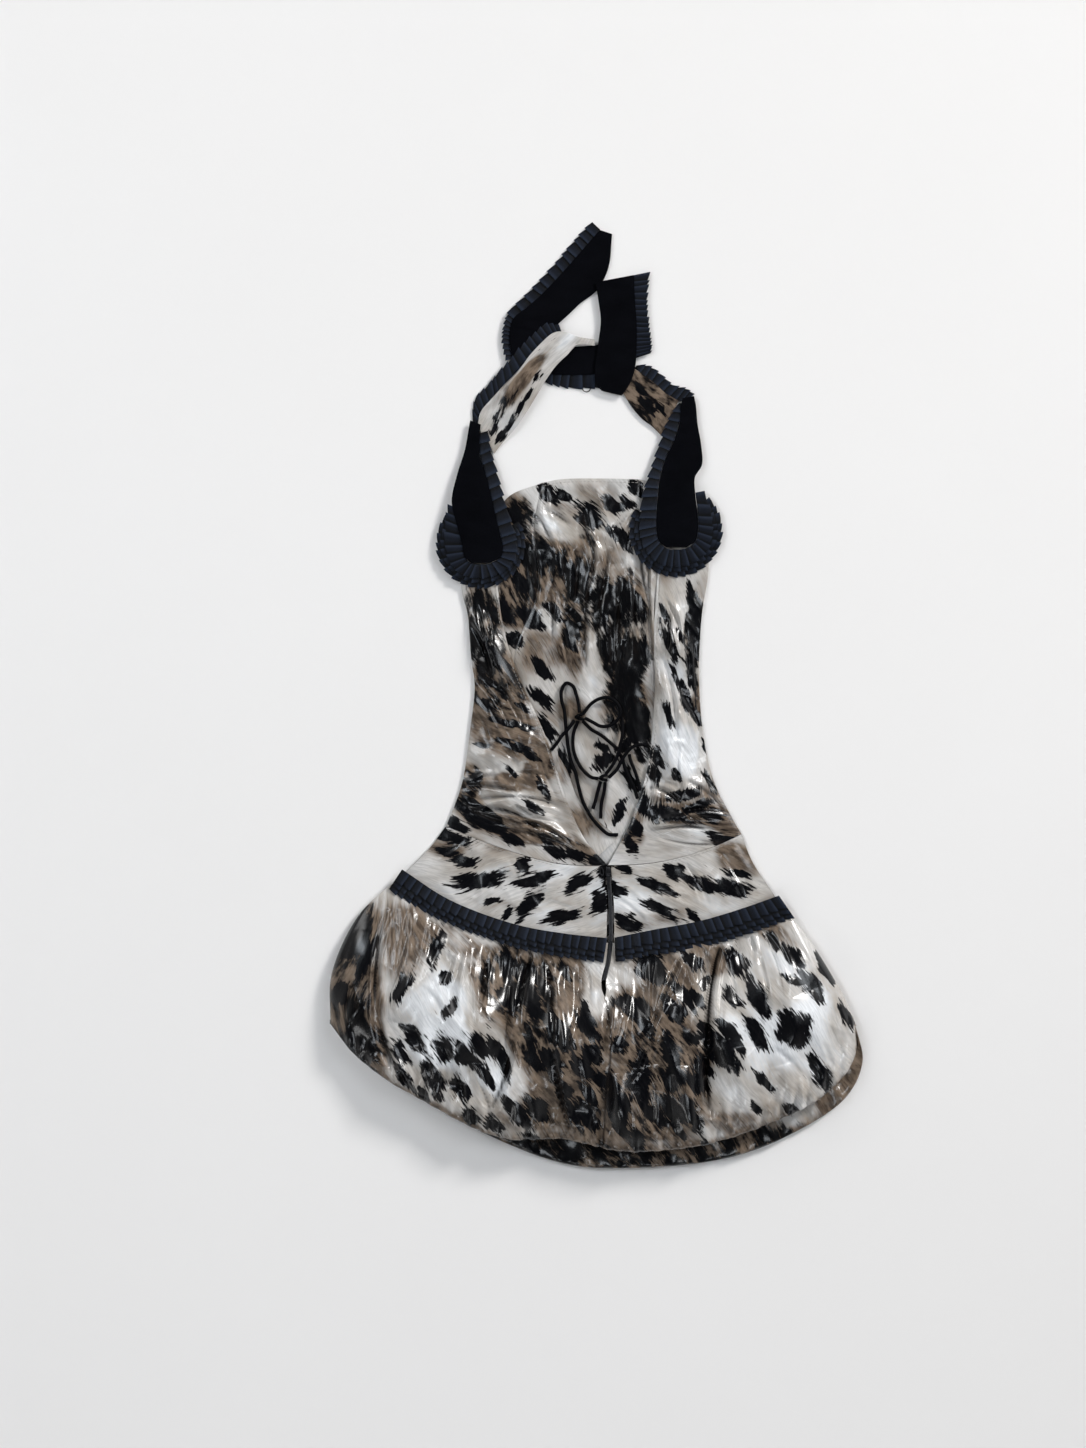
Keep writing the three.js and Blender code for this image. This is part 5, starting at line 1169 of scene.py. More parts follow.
SKIRT_CREASES = [
    (144, -284, 128, -400, -5, 4, 5.2), (126, -392, 130, -484, -3, 4, -3.6),
    (-72, -294, -92, -384, -4, 4, 4.2), (-92, -378, -122, -478, 5, 4.2, 3.6),
    (-56, -306, -50, -396, 3, 4, 3.8), (-50, -390, -28, -506, -4, 4, 3.2),
    (-238, -244, -248, -372, -8, 5, 5.5), (-248, -368, -204, -460, -6, 5, 4.2),
    (97, -298, 62, -390, -4, 4.2, 3.2), (62, -386, 42, -440, 2, 4, 2.8),
    (193, -270, 222, -322, 4, 4.2, 3.0), (-172, -400, -148, -484, 5, 5, 2.8),
    (16, -336, -2, -430, 4, 4.2, 2.4), (228, -262, 262, -306, 4, 4.5, 2.4),
    (-120, -286, -128, -352, -3, 4.4, 2.8), (-226, -238, -248, -400, -14, 6, 4.0),
    (-244, -300, -222, -450, -12, 6, -3.4), (-214, -248, -236, -330, 6, 5, 2.4),
    (-262, -252, -292, -330, -8, 6, 2.6), (-276, -330, -288, -396, -4, 6, -2.0),
    (-192, -262, -226, -360, 6, 5, -2.2), (-160, -276, -176, -330, 4, 4.5, 1.8),
    (-140, -290, -138, -380, -4, 5, 1.7), (-90, -292, -100, -420, -5, 5.5, 3.0),
    (-72, -296, -88, -400, -5, 5, -2.6), (-98, -410, -124, -484, 5, 5.5, 2.6),
    (-54, -306, -44, -420, 5, 5.5, 3.0), (-44, -420, -26, -504, -4, 5, 2.4),
    (-20, -318, -30, -400, 4, 5, -1.8), (-30, -380, -14, -470, 3, 5, 1.8),
    (14, -340, 6, -420, 3, 4.5, 1.6), (40, -310, 20, -400, 4, 5, 1.8), (96, -300, 84, -352, -3, 4.5, 2.0),
    (88, -340, 40, -430, -6, 5, 2.2), (144, -286, 130, -400, -6, 5.5, 4.2),
    (130, -390, 130, -482, -5, 5.5, -3.0), (152, -300, 140, -392, -5, 5, 1.8),
    (176, -276, 196, -360, 5, 5, 1.8), (196, -270, 224, -324, 5, 5, -2.0),
    (214, -262, 262, -350, 6, 5.5, 2.0), (240, -290, 284, -380, 6, 5, 1.8),
    (200, -400, 250, -460, 6, 6, 1.8), (150, -420, 168, -492, 3, 5, 1.7),
    (196, -420, 190, -484, 3, 5, -1.7), (236, -410, 262, -450, 4, 5, 1.6),
    (-206, -380, -186, -462, 5, 5.5, 2.0), (-170, -400, -180, -470, 4, 5, -1.8),
    (-140, -420, -120, -494, 4, 5, 1.9), (-84, -450, -70, -502, 3, 5, 1.8),
    (60, -440, 66, -512, 2, 5, 1.8), (84, -430, 92, -510, -3, 5, -1.6), (36, -450, 40, -514, 2, 4.5, 1.6),
    (108, -400, 112, -506, 3, 5, 1.8), (-8, -440, -4, -508, 2, 4.5, 1.5),
    (-200, -330, -170, -380, 6, 6, 1.4),
]
# Shadows beside the longest folds, as troughs that only darken the cloth.
SKIRT_SHADOWS = [
    (-80, -288, -72, -472, -3, 2.6, -4), (139, -288, 123, -400, -5, 2.8, -5),
    (123, -396, 126, -486, -3, 2.6, -4), (-243, -247, -256, -372, -8, 3, -4),
    (-56, -306, -46, -392, 3, 2.4, -3.4), (99, -298, 66, -392, -4, 2.4, -3.4),
    (-214, -258, -240, -352, 5, 2.6, -3.2), (192, -272, 214, -350, 4, 2.6, -3.2),
    (-140, -430, -116, -492, 4, 2.6, -3.2), (64, -430, 70, -508, 2, 2.4, -3),
    (-176, -276, -196, -330, 4, 2.2, -2.6),
]


def short_creases():
    """Short creases at uneven steps, down from the hip ribbon and up from the hem."""
    r = np.random.default_rng(5)
    hip_line, hem_line = edge(HIP), edge(BACK_HEM_LINE)
    rows = []
    for share in np.cumsum(r.uniform(0.7, 1.4, 40)) / 42:
        x, y = hip_line(share)[:2]
        lean = r.uniform(-0.2, 0.2) + 0.12 * (share - 0.5)
        run = r.uniform(28, 80)
        line = (x, y - 24, x + run * lean + 20 * (share - 0.5), y - 24 - run)
        bow, width = r.uniform(-3, 3), r.uniform(3.6, 5.6)
        rows.append((*line, bow, width, r.choice([-1, 1]) * r.uniform(0.6, 1.7)))
    for share in np.cumsum(r.uniform(0.7, 1.4, 34)) / 36:
        x, y = hem_line(share)[:2]
        run = r.uniform(18, 52)
        line = (x - (x + 5) * 0.1 * run / 50, y + run, x, y - 4)
        bow, width = r.uniform(-3, 3), r.uniform(3.4, 5.6)
        rows.append((*line, bow, width, r.choice([-1, 1]) * r.uniform(0.6, 1.7)))
    return rows


def skirt_fur(x, y):
    """The way the hair runs, in degrees."""
    return -56 - 58 * smooth(-x, 200, 262) * smooth(y, -400, -330)


def skirt_plan(side):
    """Half of the skirt's back, between its side and the zip with the centre seam below it."""
    hip = half_of(HIP, ZIP_AT_HIP, side)
    hem = half_of(BACK_HEM_LINE, share_at(BACK_HEM_LINE, CENTRE_SEAM[-1][0]), side)
    end = 1.0 if side < 0 else 0.0
    inner = edge([tuple(hip(end)[:2]), *ZIP_LINE[3:], *CENTRE_SEAM[1:-1], tuple(hem(end)[:2])])
    outer = edge(SIDE["skirt_left" if side < 0 else "skirt_right"])
    flat = plan(hip, hem, *((outer, inner) if side < 0 else (inner, outer)))

    def where(u, v):
        p = flat(u, v)
        near = 1 - from_zip(u, side)
        p[..., 0] += side * lerp(2.7, 0.15, smooth(v, 0.22, 0.27)) * near**6
        return p

    return where


def skirt_back(side, folds):
    hand = "left" if side < 0 else "right"

    def height(u, v, x, y):
        away = from_zip(u, side)
        fade = smooth(v, 0.03, 0.2) * (1 - 0.55 * smooth(v, 0.86, 1)) * (1 - away**8)
        tight = smooth(v, 0.09, 0.14) * (1 - away**6)
        low = 1.7 * ridges(SKIRT_RIDGES, x, y) + 3.0 * waves(x, y, 74, 29, stretch=1.7, angle=-78)
        fine = 1.25 * creases(folds, x, y) + 1.0 * crumple(x, y, 60, 27, stretch=2.4, angle=-70)
        pucker = 2 * waves(x, y, 17, 45, stretch=3.5, angle=90) * smooth(v, 0.84, 0.97) * (1 - away**6)
        seam = 1.6 * np.exp(-((away * SKIRT_WIDTH / 5) ** 2)) * smooth(v, 0.25, 0.35)
        return skirt_height(away, v) + low * fade + np.clip(fine * tight, -7, 6) + pucker - seam

    def radius(u):
        return lerp(BACK_HEM["middle"], BACK_HEM["side"], from_zip(u, side) ** 2)

    def turn(u):
        return 2 + BACK_HEM["turn"] * (1 - from_zip(u, side) ** 4)

    def ripple(u):
        uneven = 1.5 * np.sin(u * 41 + side) * np.sin(u * 17 + 1) + 1.1 * np.sin(u * 73 + 2 * side)
        return uneven * smooth(1 - from_zip(u, side), 0.05, 0.25) - 1

    crowded = np.sin(np.pi / 2 * np.linspace(0, 1, 218))
    u = 1 - crowded[::-1] if side < 0 else crowded
    v = np.concatenate([[0.001, 0.03, 0.06, 0.09], np.linspace(0.11, 1, 188)])
    grid = hemmed(skirt_plan(side), u, v, height, radius, turn, ripple, -1)
    x, y = grid[..., 0], grid[..., 1]
    row = np.arange(grid.shape[0])
    under = smooth(row, len(v) - 6, len(v) + 6)[:, None]  # 1 inside the hem
    mottled = SKIRT_SPOTS + scattered(61, -74, 128, -512, -345, -60, 32)
    tone, fur = printed(x, y, mottled, SKIRT_TONES, skirt_fur, 0, (-232, -350))
    # Painted shade: the hem's roll and the part turned in are darker and browner.
    tone += np.stack([0.3 * under, 0.7 * under, 0 * under], -1)
    # Painted shade in the skirt's creases and hollows and beside its longest folds.
    fold = shaded(folds, x, y, 1.5, 3.4) + shaded(SKIRT_SHADOWS, x, y, 0.8, 3.4)
    # Painted shade along the centre seam below the zip, added to the fold shade.
    seam = 1 - smooth(from_zip(u, side) * SKIRT_WIDTH, 0.4, 1.9)
    seam = seam * smooth(row, 36, 42)[:, None]
    fold[..., 0] = np.clip(np.maximum(fold[..., 0], 0.85 * seam), 0, 0.9) * (1 - under)
    layers = dict(tone=tone, fur=fur, fold=fold)
    obj = shell(f"skirt_back_{hand}_cloth", grid, SHEET, PRINT, layers_top=layers)
    declare(obj)


skirt_folds = SKIRT_CREASES + short_creases()
for side in (-1, 1):
    skirt_back(side, skirt_folds)


# ---------------------------------------------------------------- pleated ribbons
PLEAT, FAN_PLEAT = 9.6, 11.1  # from one pleat to the next, and on the outside of a fan


def ribbon(name, at, pleats, seed, width, covered=-100.0, on="floor"):
    """Knife pleats along a ribbon.

    At gives its sewn and free edges on its underside. Covered is how far the ribbon above it reaches, where
    its material paints that ribbon's shadow.
    """
    r = np.random.default_rng(seed)
    inside = np.array([0, 0.1, 0.3, 0.55, 0.8, 0.93, 1.0])
    profile = np.array([0, 0.1, 0.35, 0.62, 0.86, 0.98, 0.9])
    jitter = np.concatenate([[0], r.uniform(-0.12, 0.12, pleats - 1), [0]])
    slant = np.concatenate([[0], r.uniform(-0.14, 0.14, pleats - 1), [0]])
    rows = []
    for i in range(pleats):
        place = lerp(i + jitter[i], i + 1 + jitter[i + 1], inside) / pleats
        rise = 0.35 + profile * (1.12 + r.uniform(-0.2, 0.05))
        flare = np.full(7, r.uniform(-0.25, 0.3)) * profile
        lean = lerp(slant[i], slant[i + 1], inside) / pleats
        reach = r.uniform(-0.3, 0.6) - 2.1 * (1 - inside) ** 1.2
        rows.append([place, rise, flare, lean, reach, np.full(7, r.uniform(0, 1))])
    place, rise, flare, lean, reach, own = np.concatenate(rows, axis=1)
    sewn, _ = at(np.clip(place, 0, 1))
    _, free = at(np.clip(place + lean, 0, 1))
    outwards = free - sewn
    outwards /= np.linalg.norm(outwards, axis=1, keepdims=True)
    free = free + outwards * reach[:, None]
    across = np.array([0, 0.06, 0.3, 0.6, 0.9, 0.97, 1.0])
    low = sewn[:, None] * (1 - across)[None, :, None] + free[:, None] * across[None, :, None]
    top = low.copy()
    fall = np.array([0.25, 0.05, 0, 0, 0, 0.06, 0.28])
    top[..., 2] += np.clip(rise[:, None] + flare[:, None] * across[None] ** 2 - fall[None], 0.28, 1.62)
    shape = top.shape[:2]
    along = np.broadcast_to((place * pleats * PLEAT)[:, None], shape)
    fur = np.stack([along, np.broadcast_to(across * width, shape), 0 * along], -1)
    # The place in each pleat, from which the material paints a highlight at the fold and shade at the foot.
    phase = np.broadcast_to(np.tile(inside, pleats)[:, None], shape)
    tone = np.stack([phase, np.broadcast_to(own[:, None], shape), 0 * phase + covered], -1)
    obj = slab(name + "_cloth", top, low, RIBBON, dict(fur=fur, tone=tone), smooth_angle=32)
    wide = np.linalg.norm(free - sewn, axis=1).mean()
    declare(obj, (wide + 1.5, length_of(free)))


def ribbon_rows(rows):
    """A ribbon's two edges from its table, the sewn one 0.3 mm in."""
    sewn, free = both_edges(rows)

    def at(t):
        s, f = sewn(t), free(t)
        inwards = f - s
        inwards[..., 2] = 0
        return s + 0.3 * inwards / np.linalg.norm(inwards, axis=-1, keepdims=True), f

    return at


def ribbon_arc(x, y, inner, outer, start, end, z):
    """A ribbon's two edges round a centre, between two angles in degrees."""

    def at(t):
        angle = np.radians(lerp(start, end, t))
        ray = np.stack([np.cos(angle), np.sin(angle), 0 * angle], -1)
        centre = np.array([x, y, z])
        return centre + inner * ray, centre + outer * ray

    return at


def paint(name, material):
    """Give a node that keeps its CAD solid a material."""
    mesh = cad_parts[name].data
    mesh.materials.clear()
    mesh.materials.append(material)
    return mesh


HIP_TOP = {
    "left": [(-222, -200), (-167, -235), (-91, -263), (-34, -273.5), (13, -278.5)],
    "right": [(21.5, -278), (66, -269), (119, -259), (167, -245), (210, -230)]
}
HIP_BOTTOM = {
    "left": [(-238, -224), (-183, -256), (-108, -285), (-59, -297), (8.5, -307)],
    "right": [(22.5, -306.5), (58, -299), (103, -293), (147, -283), (228, -256)]
}


def hip_ribbon(hand, layer, width):
    """One layer of the ribbon round the hips, over the seam from the yoke to the skirt."""
    top_line, bottom_line = edge(HIP_TOP[hand]), edge(HIP_BOTTOM[hand])
    pleats = round(length_of(samples(HIP_TOP[hand])) / PLEAT) - 1 + layer
    widest = HIP_RIBBONS[-1]

    def at(t):
        u = np.minimum(1 - t if hand == "left" else t, 0.96)
        lift = 0.6 + (2 - layer) * LAYER + 0.8 * smooth(u, 0.8, 0.96) + 0.25 * np.sin(t * 47 + layer * 2)
        z0, z1 = yoke_height(u, np.ones_like(u)), skirt_height(u, np.full_like(u, 22.5 / 225)) + 0.6
        edges = []
        for down in (layer * 1.5, width):
            p = lerp(top_line(t), bottom_line(t), down / widest)
            p[..., 2] = lerp(z0, z1, down / widest) + lift
            edges.append(p)
        return edges

    seed = 50 + layer + (10 if hand == "right" else 0)
    covered = (-100, 15.2, 21.4)[layer]
    ribbon(f"hip_trim_{hand}_{layer + 1}", at, pleats, seed, width, covered, f"skirt_back_{hand}_cloth")


def front_ribbon():
    """The hip ribbon's run under the dress, with the two layers that its material reads."""
    mesh = paint("hip_trim_front", RIBBON)
    fur = mesh.attributes.new("fur", "FLOAT_VECTOR", "POINT")
    fur.data.foreach_set("vector", np.array([v.co / MM for v in mesh.vertices], np.float32).ravel())
    tone = mesh.attributes.new("tone", "FLOAT_VECTOR", "POINT")
    tone.data.foreach_set("vector", np.tile(np.array([0.5, 0.5, -1000], np.float32), len(mesh.vertices)))


for hand in ("left", "right"):
    for layer, width in enumerate(HIP_RIBBONS):
        hip_ribbon(hand, layer, width)
front_ribbon()

# Each ribbon's number of pleats, and rows of sewn x, y, free x, y and underside z.
TRIMS = {
    "rosette_left_1": (
        26,
        [
            (-136, 300, -122, 304, 2.9), (-133, 276, -119, 281, 3.7), (-126, 251, -113, 258, 5.6),
            (-119, 222, -105, 228, 7.4), (-112, 192, -96, 197, 8.4), (-107, 171, -90, 176, 8.4),
            (-109.5, 158, -93, 152, 8.4), (-120, 151.5, -110, 138, 8.4), (-132, 150, -132, 133, 8.4),
            (-142.5, 151.5, -154, 138, 8.4), (-149.5, 158, -168, 152, 8.4), (-152.5, 172, -173, 172, 8.4),
            (-158.5, 195, -173, 200, 8.4), (-163.5, 216, -170, 219, 8.2),
        ]
    ),
    "rosette_right_1": (
        29,
        [
            (103, 334, 94, 336, 3.4), (97, 314, 83, 317, 3.4), (91, 293, 76, 300, 3.8),
            (80, 270, 68, 275, 5), (74, 249, 60, 253, 6.4), (71.5, 230, 53, 231, 7.8),
            (70, 206, 50, 206, 8.4), (70, 188, 50, 184, 8.4), (72.5, 177, 57, 165, 8.4),
            (81, 168.5, 72, 151, 8.4), (92, 167, 92, 146, 8.4), (104, 168.5, 112, 151, 8.4),
            (114, 175.5, 128, 163, 8.4), (117, 187, 134, 182, 8.4), (117, 206, 134, 205, 8.4),
            (114, 232, 125, 234, 8.4),
        ]
    ),
    "strap_left_upper_trim": (
        17,
        [
            (-136, 309, -143, 314, 0.1), (-132, 325, -139, 341, 0.6), (-120, 338, -125, 356, 2),
            (-108.8, 351.8, -112, 371, 4.8), (-90, 371, -97, 388, 5.6), (-75, 389, -85, 402, 5.6),
            (-61, 404, -71, 416, 5.6), (-49, 414, -56, 427, 5.6), (-39, 416.5, -42, 425, 5.6),
        ]
    ),
    "strap_left_tail_trim": (
        16,
        [
            (46, 387, 65, 393, 3.2), (46, 405, 65, 406, 3.2), (46, 428, 62, 428, 3.2),
            (44.5, 455, 60, 455, 3.2), (43.5, 482, 63, 486, 3.2)
        ]
    ),
    "strap_right_upper_trim": (
        9,
        [
            (45, 375, 48, 381, 0.1), (56, 367, 63, 379, 0.1), (68, 358, 77, 369, 0.1),
            (80, 347, 90, 357, 0.1), (95, 338, 106, 353, 0.1), (103, 338, 114, 346, 0.1)
        ]
    ),
    "strap_right_band_trim": (
        9,
        [
            (-80, 380, -84, 367, 0.1), (-58, 371, -60, 359, 0.1), (-30, 369, -31, 352, 0.1),
            (12, 370, 10, 352, 0.1)
        ]
    ),
    "strap_right_tail_trim": (
        21,
        [
            (5.5, 535, -5, 545, 0.1), (-14, 511, -25, 523, 0.1), (-37, 485, -48, 496, 0.1),
            (-62, 459, -73, 469, 0.6), (-94, 431, -102, 438, 2.8), (-98, 418, -107, 420, 2.8),
            (-98.5, 403, -108, 404, 2.8), (-95, 386, -104, 384, 2.4),
        ]
    ),
}
for seed, (name, (pleats, rows)) in enumerate(TRIMS.items()):
    on = f"back_wing_{name.split('_')[1]}_cloth" if "rosette" in name else "floor"
    ribbon(name, ribbon_rows(rows), pleats, 70 + seed, 17, on=on)

# The second and third fan of each rosette: inner and outer radius, start and end in degrees.
for hand, x, y, fans in (
    ("left", -132, 174, [(32, 46.5, 25, -228), (37, 51.8, 30, -232)]),
    ("right", 92, 189, [(33, 48, 155, 398), (38, 54, 152, 405)]),
):
    for i, (inner, outer, start, end) in enumerate(fans):
        at = ribbon_arc(x, y, inner, outer, start, end, 5.2 + (1 - i) * LAYER)
        pleats = round(abs(math.radians(end - start)) * outer / FAN_PLEAT)
        seed = 90 + i + (5 if hand == "left" else 0)
        name, on = f"rosette_{hand}_{i + 2}", f"back_wing_{hand}_cloth"
        ribbon(name, at, pleats, seed, outer - inner, 8.6, on)

# ---------------------------------------------------------------- straps
# The cloth that is up, and rows of x, y on the ribbon's side, x, y on the other and underside z.
STRAPS = {
    "left_lower": (
        "velvet",
        [
            (-122, 151.5, -141, 151, 8.5), (-110, 158, -149, 158, 8.5), (-107.5, 169, -152, 172, 8.5),
            (-113, 193, -158, 195, 8.5), (-120, 223, -164, 222, 8), (-127, 252, -158, 252, 6),
            (-134, 277, -149, 281, 4.4), (-134, 300, -145, 303, 3.6), (-133, 311, -143, 315, 3.0),
        ]
    ),
    "left_upper": (
        "satin",
        [
            (-135, 308, -117, 278, 0.1), (-131, 325, -108, 290, 0.4), (-120, 338, -99, 300, 2),
            (-108, 351, -91, 309, 4.8), (-89, 370, -78, 328, 5.6), (-75, 389, -67, 346, 5.6),
            (-61, 404, -56, 364, 5.6), (-49, 414, -46, 378, 5.6), (-38, 416, -33, 391, 5.6),
            (-20, 410, -20, 403, 4.6), (-1, 407, -1, 402, 3.6),
        ]
    ),
    "left_tail": (
        "velvet",
        [
            (29, 344, 8, 349, 2.9), (38, 357, 1, 358, 2.9), (44, 374, 0.5, 374, 2.9),
            (46, 400, 4, 403, 2.9), (46, 428, 7, 430, 2.9), (44, 455, 4, 455, 2.9), (43, 482, 1, 474, 2.9)
        ]
    ),
    "right_lower": (
        "velvet",
        [
            (82, 169.5, 103, 169.5, 7.4), (73.5, 177, 113, 176, 7.4), (71, 188, 116, 187, 7.4),
            (71, 206, 116, 206, 7.4), (73, 230, 113, 232, 6.6), (75, 248, 113, 250, 5.6),
            (81, 270, 121, 264, 4.6), (92, 293, 120, 288, 3.8), (98, 314, 116, 311, 3.4),
            (99, 333, 114, 333, 3.4), (101, 341, 112, 343, 3.4),
        ]
    ),
    "right_upper": (
        "satin",
        [
            (44, 374, 32, 348, 0.1), (56, 366, 42, 332, 0.1), (68, 357, 53, 319, 0.1),
            (80, 346, 66, 309, 0.1), (95, 337, 76, 299, 0.1)
        ]
    ),
    "right_band": (
        "velvet",
        [
            (-88, 384, -90, 412, 0.1), (-58, 371, -58, 399, 0.1), (-30, 369, -30, 399, 0.1),
            (14, 370, 14, 402, 0.1)
        ]
    ),
    "right_tail": (
        "velvet",
        [
            (-94, 384, -76, 388, 2.8), (-98, 408, -62, 406, 2.8), (-94, 431, -44, 426, 2.8),
            (-78, 445, -30, 439, 1.8), (-62, 459, -19, 450, 0.6), (-37, 485, 1, 466, 0.1),
            (-14, 511, 14, 492, 0.1), (6, 534, 18, 530, 0.1),
        ]
    ),
}
STRAP_RIDGES = [
    (-94, 424, -58, 436, 3, 4, 1.6), (-60, 380, -48, 404, 3, 5, 0.8), (-110, 316, -76, 372, 5, 6, 0.8),
    (92, 262, 100, 210, 3, 6, 0.8), (-140, 262, -132, 196, 3, 6, 0.8), (20, 360, 24, 440, 4, 6, 0.7),
    (-30, 480, 0, 516, 3, 6, 0.7), (46, 362, 70, 318, 3, 4, 0.5),
]
STRAP_CREASES = [
    (-118, 312, -88, 356, 4, 3, 0.7), (-84, 340, -54, 392, -4, 3, 0.8), (-62, 362, -34, 402, 3, 3, -0.8),
    (-36, 400, -8, 406, 1, 2.5, 0.6), (50, 356, 74, 322, 2, 2.5, 0.6), (58, 360, 86, 326, -2, 2.5, 0.5),
    (-100, 420, -62, 414, 2, 4, 0.7),
]
STRAP_TONES = [
    (-84, 360, 36, 8, 50, 0.0, 0.7), (-66, 384, 32, 6, 44, 0.0, 0.7), (-100, 334, 28, 5, 54, 0.5, 0.4),
    (-106, 306, 26, 18, 50, 0.35, 0.1), (-44, 404, 30, 10, 30, -0.5, -0.5),
    (-74, 352, 24, 7, 50, -0.3, -0.3), (60, 340, 60, 50, -40, 0.62, 1.0),
    (78, 318, 16, 12, -40, -0.2, -0.3),
]
STRAP_SPOTS = [
    (-108, 298, 9, 3, 52), (-98, 312, 12, 2.6, 54), (-114, 318, 9, 2.2, 56), (-88, 330, 10, 2.2, 50),
    (-78, 344, 8, 2, 50), (-106, 334, 9, 2.2, 54), (-118, 304, 6, 2.4, 56), (-66, 366, 8, 1.8, 48),
    (60, 332, 10, 4, -50), (74, 330, 9, 3, -52), (52, 350, 9, 3, -48),
]


def strap(name, up, rows):
    """A stretch of strap: two faces, velvet and satin, the lower one a little narrower."""
    first, second = both_edges(rows)
    t = np.linspace(0, 1, 90)
    w = np.array([0, 0.02, 0.06, 0.14, 0.26, 0.38, 0.5, 0.62, 0.74, 0.86, 0.94, 0.98, 1])
    flat = first(t)[:, None] * (1 - w)[None, :, None] + second(t)[:, None] * w[None, :, None]
    x, y = flat[..., 0], flat[..., 1]
    pillow = 0.55 * (4 * w * (1 - w)) ** 0.35 - 0.25
    detail = ridges(STRAP_RIDGES, x, y) + creases(STRAP_CREASES, x, y) + 0.18 * waves(x, y, 24, 61)
    middle = flat.mean(1, keepdims=True)
    half = np.linalg.norm(flat[:, :1] - middle, axis=-1, keepdims=True)
    lies_on = f"back_wing_{name.split('_')[0]}_cloth" if "lower" in name else "floor"
    for face in ("satin" if up == "velvet" else "velvet", up):
        if face == up:
            here = middle + (flat - middle) * (1 + 1.1 / half)
            bottom = here + np.array([0, 0, FACE + SEAM + 0.02])
            top = here + np.array([0, 0, FACE + SEAM + FACE])
            folds = np.clip(detail, -0.6, 1.8) * smooth(np.minimum(w, 1 - w), 0, 0.1)[None]
            top[..., 2] += pillow[None] + folds
        else:
            here = middle + (flat - middle) * 0.94
            bottom, top = here, here + np.array([0, 0, FACE])
        piece = f"strap_{name}_{face}_cloth"
        wide = np.linalg.norm(here[:, 0] - here[:, -1], axis=1).mean()
        cut = (wide + 1, length_of(here.mean(1)) + 1)
        if face == "velvet":
            declare(slab(piece, top, bottom, VELVET), cut)
        else:
            tone, fur = printed(x, y, STRAP_SPOTS, STRAP_TONES, 52 if "left" in name else -48, 0.05)
            obj = slab(piece, top, bottom, PRINT, dict(tone=tone, fur=fur))
            declare(obj, cut)


for name, (up, rows) in STRAPS.items():
    strap(name, up, rows)


# ---------------------------------------------------------------- stitches
def stitches(name, panel, route, step=4.6, long=2.9):
    """Dashes of thread along a route, laid on the panel under it."""
    mesh = pieces[panel + "_cloth"].data
    tree = BVHTree.FromPolygons([v.co for v in mesh.vertices], [q.vertices for q in mesh.polygons])
    line = samples(route)
    far = along_line(line)
    points, faces = [], []
    for start in np.arange(1.5, far[-1] - long - 1.5, step):
        ends = []
        for s in (start, start + long / 2, start + long):
            x, y = np.interp(s, far, line[:, 0]), np.interp(s, far, line[:, 1])
            above = Vector(((x + SHIFT[0]) * MM, (y + SHIFT[1]) * MM, 0.2))
            hit = tree.ray_cast(above, Vector((0, 0, -1)))[0]
            if hit is not None:
                ends.append(np.array([x, y, hit.z / MM]))
        if len(ends) < 3:
            continue
        ahead = (ends[2] - ends[0]) / np.linalg.norm(ends[2] - ends[0])
        side = np.array([-ahead[1], ahead[0], 0]) * 0.28
        first = len(points)
        for end, rise in zip(ends, (0, 0.3, 0)):
            for across, up in ((-1, -0.1), (-0.7, 0.12), (0.7, 0.12), (1, -0.1)):
                points.append(end + side * across + np.array([0, 0, up + rise]))
        for i in (first, first + 4):
            faces += [(i + j, i + (j + 1) % 4, i + 4 + (j + 1) % 4, i + 4 + j) for j in range(4)]
        faces += [tuple(range(first, first + 4)), tuple(range(first + 8, first + 12))]
    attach(solid(name, points, faces, THREAD), "dress")


def thread_loop(x, y, z, wide, tall):
    """A loop of black thread that keeps the free strap end in place; its ends are sewn under the band."""
    turn = np.linspace(-0.2 * math.pi, 1.2 * math.pi, 40)
    path = np.stack([x + wide * np.cos(turn), y - tall * np.sin(turn), z + 0 * turn], -1)
    out = np.stack([np.cos(turn), -np.sin(turn), 0 * turn], -1)
    upward = np.tile([0.0, 0.0, 1.0], (len(turn), 1))
    points, faces = tube(path, out, upward, radius=0.55, corners=8, closed=False)
    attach(solid("thread_loop", points, faces, LACING), "dress")


def moved(route, dx, dy):
    return [(x + dx, y + dy) for x, y in route]


thread_loop(-10.5, 352.5, 0.9, 4.5, 4)
for hand, dx in (("left", -3.4), ("right", 3.4)):
    stitches(f"stitches_wing_{hand}", f"back_wing_{hand}", moved(WING_INNER[hand][1:-1], dx, 0))
stitches("stitches_neckline", "front_bodice_centre", moved(NECKLINE["centre"], 0, -4))
for hand, side in (("left", -1), ("right", 1)):
    waist = [q for q in WAIST if (q[0] - ZIP_LINE[0][0]) * side > 0]
    stitches(f"stitches_waist_{hand}", f"yoke_back_{hand}", moved(waist, 0, -3.2))

# ---------------------------------------------------------------- zip
ZIP_POINTS = 240


def zip_seat(line):
    """The height of the cloth along the zip, on the yoke and below it on the skirt."""
    y = line[:, 1]
    on_yoke = yoke_height(0.0, np.clip((WAIST_Y - y) / (WAIST_Y - HIP_Y), 0, 1))
    on_skirt = skirt_height(np.zeros(len(y)), np.clip((HIP_Y - y) / (HIP_Y - HEM_Y), 0, 1))
    return np.where(y > HIP_Y, on_yoke, on_skirt) + 0.4


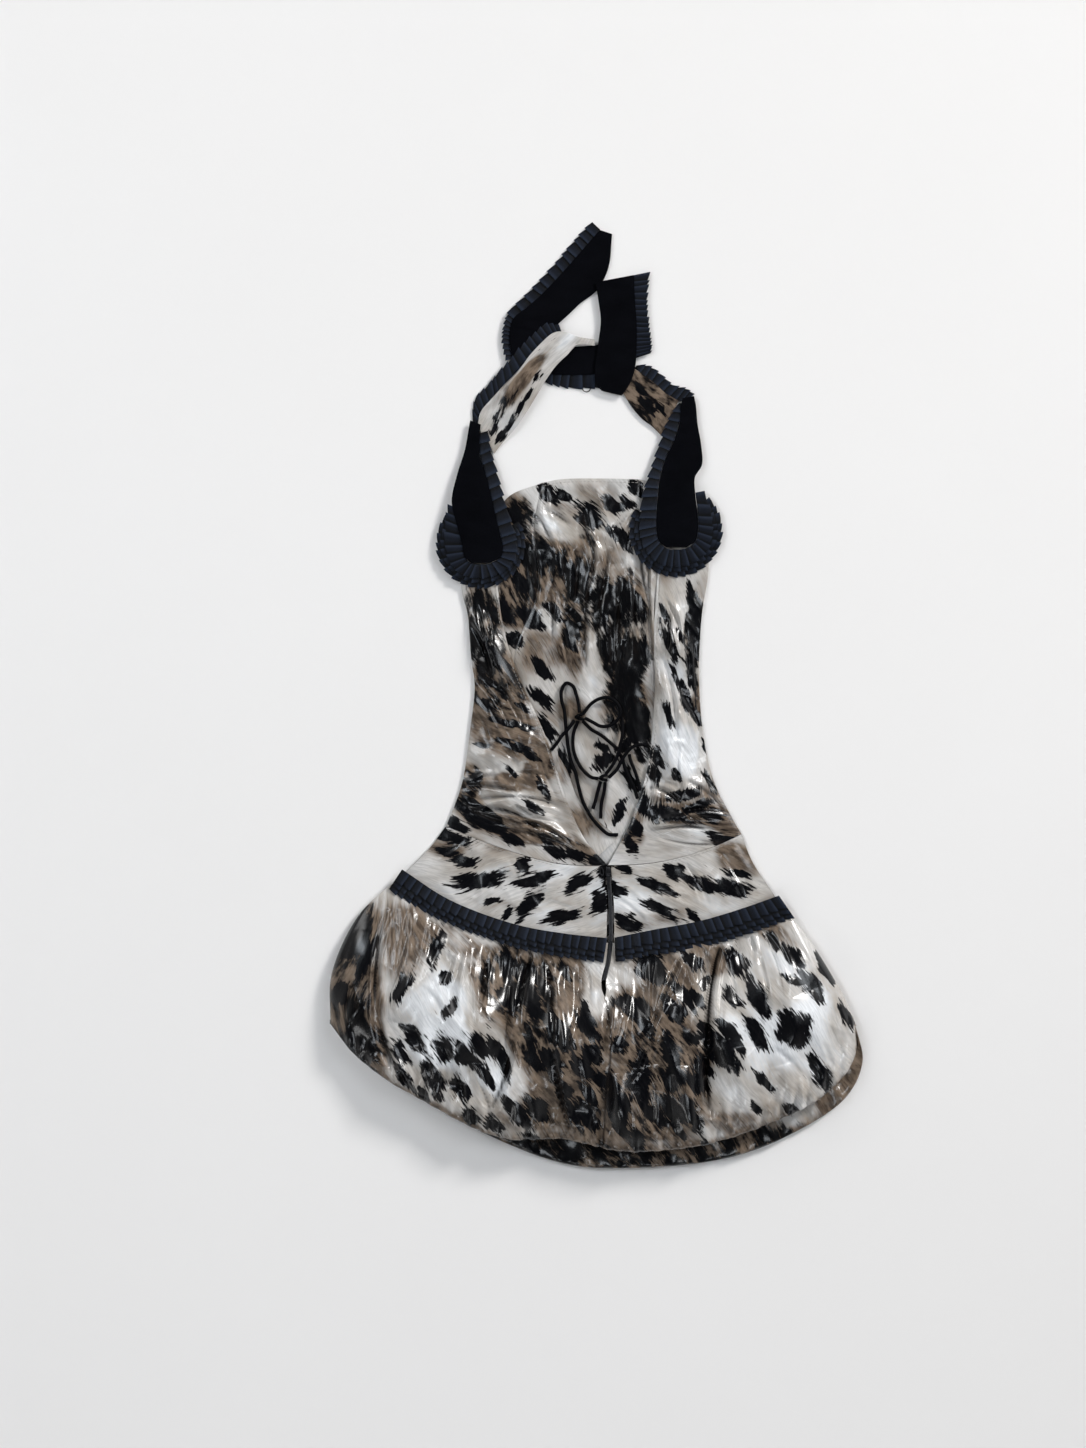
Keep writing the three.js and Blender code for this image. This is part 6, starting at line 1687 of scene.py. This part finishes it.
def zip_chain(t, line, seat):
    """The woven tape with its chain, 4.6 mm wide."""
    w = np.linspace(-1, 1, 15)
    groove = -0.35 * np.exp(-((w / 0.16) ** 2))
    beads = 0.22 * np.exp(-(((np.abs(w) - 0.42) / 0.2) ** 2))
    profile = groove + beads - 0.15 * np.abs(w) ** 6
    turns = 0.12 * np.sin(t * ZIP_POINTS * 1.7)[:, None] * np.exp(-(((np.abs(w) - 0.3) / 0.25) ** 2))[None]
    top = line[:, None] + np.stack([w * 2.3, 0 * w, 0 * w], -1)[None]
    bottom = top.copy()
    top[..., 2] = seat[:, None] + profile[None] + turns
    bottom[..., 2] = seat[:, None] - 1.6
    obj = slab("zip_chain_cloth", top, bottom, ZIP)
    declare(obj, (4.6, length_of(line)))


def zip_teeth(line, seat, count=168):
    """Coil turns along the chain, one to its right and one to its left in turn."""
    turn = ((-0.3, -0.2), (-0.3, 0.26), (0.25, 0.34), (0.9, 0.34), (1.25, 0.2), (1.25, -0.2))
    points, faces = [], []
    for k, at in enumerate(np.linspace(3, 236, count)):
        x, y, z = (np.interp(at, range(ZIP_POINTS), values) for values in (line[:, 0], line[:, 1], seat))
        reach = 1.0 if k % 2 else -1.0
        first = len(points)
        for across, up in turn:
            points += [(x + reach * across, y - 0.29, z + up), (x + reach * across, y + 0.29, z + up)]
        faces += [tuple(first + i for i in range(0, 12, 2)), tuple(first + i for i in range(1, 12, 2))]
        faces += [
            (first + 2 * i, first + 2 * i + 1, first + (2 * i + 3) % 12, first + (2 * i + 2) % 12)
            for i in range(6)
        ]
    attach(solid("zip_teeth", points, faces, ZIP), "dress")


zip_share = np.linspace(0, 1, ZIP_POINTS)
zip_line = edge(ZIP_LINE, 0.01, 0.985)(zip_share)
zip_chain(zip_share, zip_line, zip_seat(zip_line))
zip_teeth(zip_line, zip_seat(zip_line))
for name in ("zip_slider", "zip_pull", "zip_eye"):
    paint(name, METAL)

plain = lambda b: [[float(c) for c in corner] for corner in b]
{"before": plain(before), "after": plain(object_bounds())}
